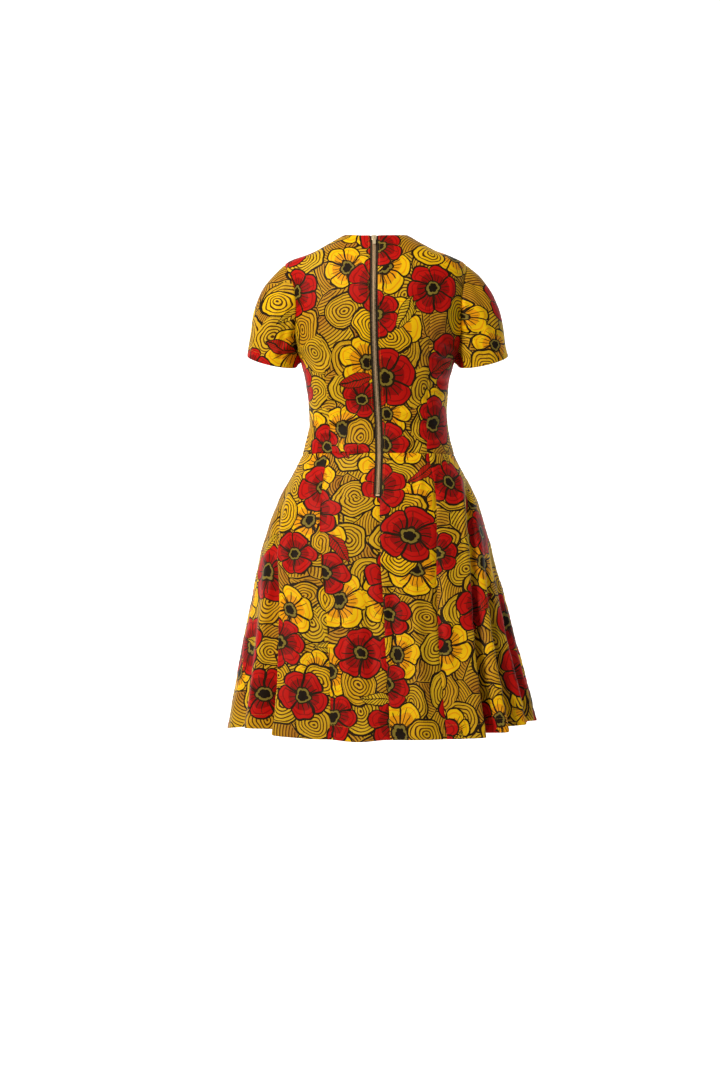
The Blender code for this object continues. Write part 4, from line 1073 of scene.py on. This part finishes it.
def zip_teeth(metal):
    """Two rows of cast teeth, each clamped on its tape and reaching just past the middle,
    set half a pitch apart."""
    middle, _, up, _ = slider_frame()
    start = middle[0, 2] - (0.5 * SLIDER_LENGTH + 0.0003) * up[0, 2]
    height = np.linspace(start, CHAIN_END, 1200)
    point, _, _, _ = back_frames(zip_x(height), height)
    along = np.concatenate([[0.0], np.cumsum(np.linalg.norm(np.diff(point, axis=0), axis=1))])
    count = int(along[-1] / (0.5 * TOOTH_PITCH)) - 1
    at = np.interp((np.arange(count) + 0.8) * 0.5 * TOOTH_PITCH, along, height)
    place, across, up, out = back_frames(zip_x(at), at)
    half = np.array([0.00022, 0.00050, 0.00056, 0.00040, 0.00040, 0.00050])
    reach = np.array([-0.0009, -0.0005, 0.0007, 0.0013, 0.0031, CHAIN_HALF_WIDTH])
    right_half, left_half = np.column_stack([reach, -half]), np.column_stack([reach, half])
    levels = [(CHAIN_FOOT, 0.0), (CHAIN_RISE - 0.0003, 0.0), (CHAIN_RISE, 0.00014)]
    template, faces = prism(np.concatenate([right_half, left_half[::-1]]), levels)
    turned = np.where(np.arange(count) % 2 == 0, 1.0, -1.0)[:, None]
    mesh = joined("zip_teeth", placed(template, place, -across * turned, up * turned, out), faces, 40.0)
    return dressed("zip_teeth", mesh, DRESS, "zip_teeth", metal, "zip_chain")


def bottom_stop(metal):
    """A clamp over the last teeth."""
    height = np.array([ZIP_END + 0.5 * STOP_LENGTH])
    point, across, up, out = back_frames(zip_x(height), height)
    levels = [(CHAIN_FOOT, 0.0), (CHAIN_RISE - 0.0004, 0.0), (CHAIN_RISE, 0.0004)]
    template, faces = prism(rounded_oblong(2.0 * CHAIN_HALF_WIDTH, STOP_LENGTH, 0.0006), levels)
    mesh = joined("zip_bottom_stop", placed(template, point, -across, up, out), faces, 40.0)
    return dressed("zip_bottom_stop_metal", mesh, DRESS, "zip_teeth", metal, "zip_bottom_stop")


def zip_slider(metal):
    """The slider: two shield-shaped plates on a wedge, and an arched bridge for the pull."""
    point, side, up, out = slider_frame()
    outline = rounded_oblong(SLIDER_WIDTH, SLIDER_LENGTH, 0.0026, 8)
    outline[:, 0] *= 1.0 - 0.16 * np.clip(-outline[:, 1] / (0.5 * SLIDER_LENGTH), 0.0, 1.0)
    top = SLIDER_SINK + SLIDER_HEIGHT
    plate, plate_faces = prism(outline, [
        (SLIDER_SINK, 0.0004), (SLIDER_SINK + 0.0004, 0.0), (SLIDER_SINK + 0.0011, 0.0),
        (SLIDER_SINK + 0.0013, 0.0009), (top - 0.0013, 0.0009), (top - 0.0011, 0.0),
        (top - 0.0005, 0.0), (top - 0.0001, 0.0005), (top, 0.0011),
    ])
    arch = np.linspace(0.0, np.pi, 17)
    rise, reach = BRIDGE_RISE - 0.5 * BRIDGE_BAR, 0.5 * (BRIDGE_LENGTH - BRIDGE_BAR)
    y = reach * np.sign(np.cos(arch)) * np.abs(np.cos(arch)) ** 0.55
    z = top - 0.0003 + (rise + 0.0003) * np.sin(arch) ** 0.55
    tangent = unit(np.column_stack([np.gradient(y), np.gradient(z)]))
    ring = rounded_oblong(BRIDGE_WIDTH, BRIDGE_BAR, 0.00035, 3)
    bar = np.stack([
        np.broadcast_to(ring[:, 0], (17, 12)),
        y[:, None] - ring[:, 1] * tangent[:, 1:],
        z[:, None] + ring[:, 1] * tangent[:, :1],
    ], axis=-1)
    bar_faces = ring_faces(17, 12)[:, TURNED_OVER]
    template = np.concatenate([plate, bar.reshape(-1, 3)])
    faces = np.concatenate([plate_faces, bar_faces + len(plate)])
    mesh = joined("zip_slider", placed(template, point, side, up, out), faces, 35.0)
    return dressed("zip_slider_metal", mesh, DRESS, "zip_slider", metal, "zip_slider")


def zip_pull(metal):
    """The pull: a flat tab with round corners and an eye, hung on its pin under the bridge."""
    point, side, up, out = slider_frame()
    half_bar = 0.5 * PULL_THICKNESS
    pin = point + out * (SLIDER_SINK + SLIDER_HEIGHT + PULL_PIN_RISE)
    rim = rounded_oblong(PULL_WIDTH, PULL_LENGTH, 0.0016, 9)
    rim[:, 1] += half_bar - 0.5 * PULL_LENGTH
    eye_middle = np.array([0.0, -0.5 * (PULL_EYE_LENGTH + half_bar)])
    way = unit(rim - eye_middle)
    half = np.array([0.5 * PULL_EYE_WIDTH, 0.5 * (PULL_EYE_LENGTH - half_bar)])
    eye = eye_middle + way * (np.sum(np.abs(way / half) ** 4.0, axis=1) ** -0.25)[:, None]
    n, bevel = len(rim), 0.0003
    rings = [
        (rim - way * bevel, half_bar), (rim, half_bar - bevel), (rim, bevel - half_bar),
        (rim - way * bevel, -half_bar), (eye + way * bevel, -half_bar), (eye, bevel - half_bar),
        (eye, half_bar - bevel), (eye + way * bevel, half_bar),
    ]
    template = np.concatenate([np.column_stack([ring, np.full(n, z)]) for ring, z in rings])
    faces = ring_faces(len(rings), n, closed=True)[:, TURNED_OVER]
    mesh = joined("zip_pull", placed(template, pin, side, up, out), faces, 35.0)
    return dressed("zip_pull_metal", mesh, PULL, "zip_slider", metal, "zip_pull")


# ---------------------------------------------------------------- materials

def dye(code):
    """A colour in linear light from its sRGB code."""
    parts = [int(code[k:k + 2], 16) / 255.0 for k in (1, 3, 5)]
    return (*[p / 12.92 if p <= 0.04045 else ((p + 0.055) / 1.055) ** 2.4 for p in parts], 1.0)


FULL_TURN = 2.0 * math.pi
WEAVE_PITCH = 0.0011        # drawn coarser than the 0.4 mm of real cotton
MOTIF_HATCH_PITCH = 0.0058  # of the lines inside pebbles and leaves


def add(tree, kind, *feeds, out=0, **settings):
    """Add a node and return one of its outputs.  A word given first is its operation.  The
    other `feeds` go to its inputs in order and capitalised settings to the inputs of those
    names: a socket is linked, a value is set, None is left."""
    node = tree.nodes.new("ShaderNode" + kind)
    if feeds and isinstance(feeds[0], str):
        node.operation, *feeds = feeds
    named = []
    for name, value in settings.items():
        if name[0].isupper():
            named.append((node.inputs[name.replace("_", " ")], value))
        else:
            setattr(node, name, value)
    for socket, value in list(zip(node.inputs, feeds)) + named:
        if isinstance(value, bpy.types.NodeSocket):
            tree.links.new(value, socket)
        elif value is not None:
            socket.default_value = value
    return node.outputs[out]


def material_of(name, finish):
    """A material with a Principled shader, its values set by the names of their sockets."""
    material = bpy.data.materials.new(name)
    material.use_nodes = True
    tree = material.node_tree
    shader = tree.nodes["Principled BSDF"]
    for socket, value in finish.items():
        shader.inputs[socket].default_value = value
    return material, tree, shader


def strewn(tree, cut, flat, apart, shift, loose):
    """Places strewn over the printed cloth, about so far apart.  Returns the place seen from
    the nearest of them, in metres, wandering as outlines do and steady as hatching is, and
    three chance numbers of that nearest one."""
    wandering, steady = (
        add(tree, "VectorMath", "MULTIPLY_ADD", way, (1.0 / apart,) * 3, (shift, 1.7 * shift, 0.0))
        for way in (flat, cut)
    )
    chance = add(tree, "TexVoronoi", wandering, Scale=1.0, Randomness=loose, out="Color",
                 voronoi_dimensions="2D")
    nearest = chance.node.outputs["Position"]
    from_nearest = [add(tree, "VectorMath", "SUBTRACT", way, nearest) for way in (wandering, steady)]
    place, still = (
        add(tree, "VectorMath", "MULTIPLY", way, (apart, apart, 0.0)) for way in from_nearest
    )
    return place, still, [add(tree, "SeparateColor", chance, out=k) for k in range(3)]


def bloom(tree, cut, flat, under, apart, shift, size, petal, deep):
    """Round open flowers with five to seven broad petals, strewn over the cloth.

    Round a flower the turn is cut into equal petals, and a petal's rim is a half oval.  With
    q the distance over the rim, q below 0.2 is the eye, then a ring, then the petal with its
    rays, its inner line and its dark outline.
    """
    place, _, (red, green, blue) = strewn(tree, cut, flat, apart, shift, 0.62)
    distance = add(tree, "VectorMath", "LENGTH", place, out="Value")
    petals = add(tree, "Math", "ROUND", add(tree, "Math", "MULTIPLY_ADD", red, 2.0, 5.0))
    aside, along = add(tree, "SeparateXYZ", place, out=0), add(tree, "SeparateXYZ", place, out=1)
    turn = add(tree, "Math", "MULTIPLY", add(tree, "Math", "ARCTAN2", along, aside), petals)
    phase = add(tree, "Math", "ADD", add(tree, "Math", "DIVIDE", turn, FULL_TURN), green)
    across = add(tree, "Math", "MULTIPLY_ADD", add(tree, "Math", "FRACT", phase), 2.0, -1.0)
    from_middle = add(tree, "Math", "ABSOLUTE", across)
    square = add(tree, "Math", "MULTIPLY", from_middle, from_middle)
    rim = add(tree, "Math", "SQRT", add(tree, "Math", "SUBTRACT", 1.0, square))
    full = add(tree, "Math", "MULTIPLY_ADD", blue, 0.35 * size, 0.78 * size)
    reach = add(tree, "Math", "MULTIPLY", full, add(tree, "Math", "MULTIPLY_ADD", rim, 0.24, 0.76))
    q = add(tree, "Math", "DIVIDE", distance, reach)
    # dark rays from the eye, tapered and of uneven length, and the line where two petals meet
    ray = add(tree, "Math", "PINGPONG", add(tree, "Math", "MULTIPLY", phase, 7.0), 1.0)
    uneven = add(tree, "Math", "SINE", add(tree, "Math", "MULTIPLY", phase, 9.0))
    ray_end = add(tree, "Math", "MULTIPLY_ADD", uneven, 0.11, 0.68)
    ray = add(tree, "Math", "LESS_THAN", ray, add(tree, "Math", "MULTIPLY_ADD", q, -0.44, 0.42))
    rays = add(tree, "Math", "MULTIPLY", ray, add(tree, "Math", "LESS_THAN", q, ray_end))
    to_edge = add(tree, "Math", "SUBTRACT", 1.0, from_middle)
    between = add(tree, "Math", "MULTIPLY", to_edge, distance)
    lined = add(tree, "Math", "MAXIMUM", rays, add(tree, "Math", "LESS_THAN", between, 0.0036))
    lined = add(tree, "Math", "MAXIMUM", lined, add(tree, "Math", "LESS_THAN", q, 0.33))
    outline_from = add(tree, "Math", "SUBTRACT", reach, 0.0037)
    colour = petal
    for mask, paint in (
        (add(tree, "Math", "LESS_THAN", q, 0.62), deep),
        (add(tree, "Math", "COMPARE", q, 0.80, 0.022), deep),
        (lined, OUTLINE),
        (add(tree, "Math", "LESS_THAN", q, 0.27), RING),
        (add(tree, "Math", "LESS_THAN", q, 0.19), FLOWER_EYE),
        (add(tree, "Math", "GREATER_THAN", distance, outline_from), OUTLINE),
    ):
        colour = add(tree, "MixRGB", mask, colour, paint)
    return add(tree, "MixRGB", add(tree, "Math", "LESS_THAN", q, 1.0), under, colour)


def pebble(tree, cut, flat, under, apart, shift, size, pale):
    """Round pebbles at all turns: rings like those of an agate in a thick dark outline.

    Seen from the pebble's middle and turned its own way, the shape is an oval a quarter longer
    than wide, and a ring lies where the distance from the middle is in the dark part of a pitch.
    """
    place, _, (red, green, blue) = strewn(tree, cut, flat, apart, shift, 0.75)
    turn = add(tree, "Math", "MULTIPLY", red, FULL_TURN)
    turned = add(tree, "VectorRotate", place, Angle=turn, rotation_type="Z_AXIS")
    oval = add(tree, "VectorMath", "MULTIPLY", turned, (1.0, 0.8, 0.0))
    distance = add(tree, "VectorMath", "LENGTH", oval, out="Value")
    reach = add(tree, "Math", "MULTIPLY_ADD", blue, 0.35 * size, 0.75 * size)
    share = add(tree, "Math", "DIVIDE", distance, reach)
    swell = add(tree, "Math", "MULTIPLY_ADD", share, -0.16, 0.46)
    rings = add(tree, "Math", "DIVIDE", distance, MOTIF_HATCH_PITCH)
    ring = add(tree, "Math", "LESS_THAN", add(tree, "Math", "FRACT", rings), swell)
    clear = add(tree, "Math", "LESS_THAN", distance, add(tree, "Math", "SUBTRACT", reach, 0.0050))
    outline_from = add(tree, "Math", "SUBTRACT", reach, 0.0034)
    outlined = add(tree, "Math", "GREATER_THAN", distance, outline_from)
    colour = add(tree, "MixRGB", green, GOLD, pale)
    colour = add(tree, "MixRGB", add(tree, "Math", "MULTIPLY", ring, clear), colour, HATCH)
    colour = add(tree, "MixRGB", outlined, colour, OUTLINE)
    return add(tree, "MixRGB", add(tree, "Math", "LESS_THAN", distance, reach), under, colour)


def leaf(tree, cut, flat, under, apart, shift, length):
    """Pointed leaves at all turns, with a midrib, slanting hatching and a dark outline."""
    place, _, (red, green, _) = strewn(tree, cut, flat, apart, shift, 0.8)
    turn = add(tree, "Math", "MULTIPLY", red, FULL_TURN)
    turned = add(tree, "VectorRotate", place, Angle=turn, rotation_type="Z_AXIS")
    along = add(tree, "SeparateXYZ", turned, out=0)
    aside = add(tree, "Math", "ABSOLUTE", add(tree, "SeparateXYZ", turned, out=1))
    share = add(tree, "Math", "DIVIDE", along, length)
    room = add(tree, "Math", "SUBTRACT", 1.0, add(tree, "Math", "MULTIPLY", share, share))
    inside = add(tree, "Math", "MULTIPLY", room, 0.34 * length)
    inside = add(tree, "Math", "SUBTRACT", inside, aside)
    slant = add(tree, "Math", "ADD", along, add(tree, "Math", "MULTIPLY", aside, 0.9))
    hatching = add(tree, "Math", "FRACT", add(tree, "Math", "DIVIDE", slant, MOTIF_HATCH_PITCH))
    colour = add(tree, "MixRGB", add(tree, "Math", "GREATER_THAN", green, 0.55), PALE_GOLD, RED)
    colour = add(tree, "MixRGB", add(tree, "Math", "LESS_THAN", hatching, 0.36), colour, HATCH)
    colour = add(tree, "MixRGB", add(tree, "Math", "LESS_THAN", aside, 0.0011), colour, OUTLINE)
    colour = add(tree, "MixRGB", add(tree, "Math", "LESS_THAN", inside, 0.0018), colour, OUTLINE)
    return add(tree, "MixRGB", add(tree, "Math", "GREATER_THAN", inside, 0.0), under, colour)


# colours of the print
GOLD, PALE_GOLD, TAN, HATCH = dye("#D9A41A"), dye("#E8C022"), dye("#BD7F22"), dye("#55300A")
YELLOW, ORANGE = dye("#FFCE08"), dye("#F5A506")
RED, DARK_RED = dye("#CA120A"), dye("#A00A07")
OUTLINE, FLOWER_EYE, RING = dye("#2A1C0A"), dye("#1C1206"), dye("#8A7A30")


def printed_cotton():
    """Waxed cotton: a print in reds and yellows over hatched gold, on cloth that is nearly matt,
    with a faint gloss on the crowns of its folds.

    The ground is cut into cells about 60 mm across.  Each cell is hatched with arcs about a
    point of its own, so that neighbouring cells are hatched at other slants.
    """
    material, tree, shader = material_of("printed waxed cotton", {
        "Roughness": 0.58, "Specular IOR Level": 0.12, "Sheen Weight": 0.015, "Sheen Roughness": 0.45,
    })
    cut = add(tree, "UVMap", uv_map="cut")
    # outlines cut by hand: every place wanders by about 3 mm
    wander = add(tree, "TexNoise", cut, Scale=24.0, Detail=1.5, out="Color", noise_dimensions="2D")
    either_way = add(tree, "VectorMath", "SUBTRACT", wander, (0.5, 0.5, 0.5))
    flat = add(tree, "VectorMath", "MULTIPLY_ADD", either_way, (0.016,) * 3, cut)
    patch = add(tree, "TexNoise", cut, Scale=14.0, Detail=2.0, noise_dimensions="2D")
    # ground: tan near the point its arcs turn about, and yellower and finer away from it
    apart = 0.060
    _, still, (one, other, own) = strewn(tree, cut, flat, apart, 3.0, 0.9)
    turn = add(tree, "Math", "MULTIPLY", one, FULL_TURN)
    aside = add(tree, "CombineXYZ", add(tree, "Math", "COSINE", turn), add(tree, "Math", "SINE", turn))
    away = add(tree, "Math", "MULTIPLY_ADD", other, 0.035, 0.045)
    point = add(tree, "VectorMath", "SCALE", aside, Scale=away)
    arcs = add(tree, "VectorMath", "LENGTH", add(tree, "VectorMath", "ADD", still, point), out="Value")
    pitch = add(tree, "Math", "MULTIPLY_ADD", own, 0.0022, 0.0046)
    hatching = add(tree, "Math", "FRACT", add(tree, "Math", "DIVIDE", arcs, pitch))
    swell = add(tree, "Math", "MULTIPLY_ADD", patch, 0.30, 0.22)
    hatch = add(tree, "Math", "LESS_THAN", hatching, swell)
    grid = add(tree, "VectorMath", "MULTIPLY_ADD", flat, (1.0 / apart,) * 3, (3.0, 5.1, 0.0))
    to_edge = add(tree, "TexVoronoi", grid, Scale=1.0, Randomness=0.9, feature="DISTANCE_TO_EDGE",
                  voronoi_dimensions="2D", out="Distance")
    hatch = add(tree, "Math", "MULTIPLY", hatch, add(tree, "Math", "GREATER_THAN", to_edge, 0.050))
    farther = add(tree, "Math", "SUBTRACT", arcs, away)
    yellower = add(tree, "Math", "MULTIPLY_ADD", farther, 16.0, 0.55, use_clamp=True)
    colour = add(tree, "MixRGB", yellower, TAN, add(tree, "MixRGB", own, GOLD, PALE_GOLD))
    colour = add(tree, "MixRGB", hatch, colour, HATCH)
    colour = add(tree, "MixRGB", add(tree, "Math", "LESS_THAN", to_edge, 0.026), colour, OUTLINE)
    # motifs, from the lowest to the highest
    colour = pebble(tree, cut, flat, colour, 0.088, 5.0, 0.040, PALE_GOLD)
    colour = bloom(tree, cut, flat, colour, 0.150, 11.0, 0.056, YELLOW, ORANGE)
    colour = pebble(tree, cut, flat, colour, 0.150, 61.0, 0.034, YELLOW)
    colour = bloom(tree, cut, flat, colour, 0.146, 37.0, 0.056, RED, DARK_RED)
    colour = leaf(tree, cut, flat, colour, 0.190, 23.0, 0.038)
    # wax crackle: fine dark veins in patches, drawn coarser than the hairlines of real wax
    vein = add(tree, "TexVoronoi", flat, Scale=60.0, Randomness=1.0, feature="DISTANCE_TO_EDGE",
               voronoi_dimensions="2D", out="Distance")
    vein = add(tree, "Math", "LESS_THAN", vein, 0.018)
    crackle = add(tree, "Math", "MULTIPLY", vein, add(tree, "Math", "GREATER_THAN", patch, 0.56))
    colour = add(tree, "MixRGB", add(tree, "Math", "MULTIPLY", crackle, 0.45), colour, OUTLINE)
    # dye taken up unevenly
    shade = add(tree, "Math", "MULTIPLY_ADD", patch, 0.16, 0.92)
    tone = add(tree, "VectorMath", "SCALE", colour, Scale=shade)
    tree.links.new(tone, shader.inputs["Base Color"])
    # weave: warp and weft as crossed sines
    waves = add(tree, "VectorMath", "SCALE", cut, Scale=FULL_TURN / WEAVE_PITCH)
    threads = add(tree, "VectorMath", "SINE", waves)
    warp, weft = (add(tree, "SeparateXYZ", threads, out=k) for k in range(2))
    weave = add(tree, "Math", "MULTIPLY", warp, weft)
    rumple = add(tree, "TexNoise", cut, Scale=45.0, Detail=3.0, noise_dimensions="2D")
    height = add(tree, "Math", "MULTIPLY_ADD", weave, 0.03, rumple)
    bump = add(tree, "Bump", Strength=0.35, Distance=0.0012, Height=height)
    tree.links.new(bump, shader.inputs["Normal"])
    return material


def woven_tape():
    """Zip tape: dark brown polyester, woven in fine ribs that leave it matt."""
    material, tree, shader = material_of("dark brown zip tape", {
        "Base Color": dye("#2B2416"), "Roughness": 0.85, "Specular IOR Level": 0.25,
        "Sheen Weight": 0.15,
    })
    cut = add(tree, "UVMap", uv_map="cut")
    # ribs 1.2 mm and 2.4 mm apart, drawn coarser than a real tape's
    ribs = add(tree, "VectorMath", "MULTIPLY", cut, (5200.0, 2600.0, 0.0))
    ribs = add(tree, "VectorMath", "SINE", ribs)
    lengthwise, crosswise = (add(tree, "SeparateXYZ", ribs, out=k) for k in range(2))
    height = add(tree, "Math", "ADD", lengthwise, crosswise)
    bump = add(tree, "Bump", Strength=0.4, Distance=0.0001, Height=height)
    tree.links.new(bump, shader.inputs["Normal"])
    return material


def cast_metal(name, colour, dull, roughness):
    """Cast or stamped metal whose polish is uneven: grime dulls it in patches.  It is only
    partly metallic, so that it keeps its pale colour where it has nothing bright to mirror."""
    material, tree, shader = material_of(name, {"Metallic": 0.35, "Roughness": roughness})
    place = add(tree, "TexCoord", out="Object")
    grime = add(tree, "TexNoise", place, Scale=420.0, Detail=3.0)
    metal = add(tree, "MixRGB", grime, dye(colour), dye(dull))
    tree.links.new(metal, shader.inputs["Base Color"])
    rough = add(tree, "Math", "MULTIPLY_ADD", grime, 0.25, roughness - 0.1)
    tree.links.new(rough, shader.inputs["Roughness"])
    return material


def sewing_thread():
    """Polyester sewing thread, matt gold to go with the ground of the print."""
    return material_of("gold sewing thread", {
        "Base Color": dye("#C79A2C"), "Roughness": 0.7, "Specular IOR Level": 0.3,
    })[0]


# ---------------------------------------------------------------- the whole dress

cotton, thread = printed_cotton(), sewing_thread()
cloth = (cotton, thread)
teeth_metal = cast_metal("aged brass of the teeth", "#F4DDBB", "#D6B88E", 0.46)
slider_metal = cast_metal("pale gold of the slider", "#F3E6C8", "#D9C49A", 0.34)
tape = woven_tape()

# each piece of cloth with where it was cut on the printed length, across and along
back_bodice(1.0, (0.62, 0.93), cloth)
back_bodice(-1.0, (-0.41, 0.47), cloth)
front_bodice((0.05, 1.30), cloth)
sleeve(1.0, (1.52, 0.47), cloth)
sleeve(-1.0, (-1.20, 0.85), cloth)
centre_skirt(1.0, (0.30, 2.20), cloth)
centre_skirt(-1.0, (-0.72, 2.61), cloth)
seamed_skirt("back_skirt_side_left", LEFT_GORE_LINE, LEFT_SIDE_LINE, (1.90, 1.75),
             cloth)
seamed_skirt("back_skirt_side_right", RIGHT_SIDE_LINE, RIGHT_GORE_LINE, (-2.10, 3.05),
             cloth)
seamed_skirt("front_skirt", LEFT_SIDE_LINE, RIGHT_SIDE_LINE + 360.0, (0.12, 4.20),
             cloth)
zip_tape(1.0, (0.0, 0.0), tape)
zip_tape(-1.0, (0.3, 0.0), tape)
zip_teeth(teeth_metal)
bottom_stop(teeth_metal)
zip_slider(slider_metal)
zip_pull(slider_metal)


# ---------------------------------------------------------------- studio

def sweep():
    """A pale floor that curves up behind the dress without an edge."""
    turn = np.linspace(0.0, 0.5 * np.pi, 17)
    depth = np.concatenate([[0.5], -2.2 - 1.5 * np.sin(turn), [-3.7]])
    height = np.concatenate([[0.0], 1.5 - 1.5 * np.cos(turn), [6.0]]) + FLOOR
    count = len(depth)
    points = [(x, y, z) for x in (-9.0, 9.0) for y, z in zip(depth, height)]
    faces = [(k, k + 1, count + k + 1, count + k) for k in range(count - 1)]
    mesh = bpy.data.meshes.new("studio_sweep")
    mesh.from_pydata(points, [], faces)
    mesh.shade_smooth()
    material, _, _ = material_of("white paper sweep", {
        "Base Color": dye("#FBFAF8"), "Roughness": 0.9, "Emission Color": dye("#FFFFFF"),
        "Emission Strength": 0.75,
    })
    mesh.materials.append(material)
    floor = bpy.data.objects.new("studio_sweep", mesh)
    bpy.context.scene.collection.objects.link(floor)


def soft_light(name, place, target, size, power, colour):
    """A square softbox at a place, turned to a target."""
    light = bpy.data.lights.new(name, "AREA")
    light.shape, light.size, light.energy = "SQUARE", size, power
    light.color = dye(colour)[:3]
    lamp = bpy.data.objects.new(name, light)
    lamp.location = place
    way = unit(np.array(place) - np.array(target))
    lamp.rotation_euler = (math.acos(way[2]), 0.0, math.atan2(way[1], way[0]) + 0.5 * math.pi)
    bpy.context.scene.collection.objects.link(lamp)


sweep()
soft_light("key", (1.95, 2.6, 1.9), (0.0, 0.1, -0.5), 0.8, 146.0, "#FFF2E0")
soft_light("fill", (-2.0, 3.6, -0.2), (0.0, 0.0, -0.6), 2.2, 8.0, "#FFF8F0")
world = bpy.data.worlds.new("studio")
world.use_nodes = True
world.node_tree.nodes["Background"].inputs["Color"].default_value = dye("#F7F5F2")
world.node_tree.nodes["Background"].inputs["Strength"].default_value = 0.15
bpy.context.scene.world = world
bpy.context.scene.view_settings.view_transform = "Standard"

lens = bpy.data.cameras.new("camera")
lens.sensor_width = SENSOR
lens.lens = SENSOR * DISTANCE / (IMAGE_HEIGHT * SCALE)
camera = bpy.data.objects.new("camera", lens)
camera.location = EYE
camera.rotation_euler = (0.5 * math.pi, 0.0, math.pi)
bpy.context.scene.collection.objects.link(camera)
bpy.context.scene.camera = camera
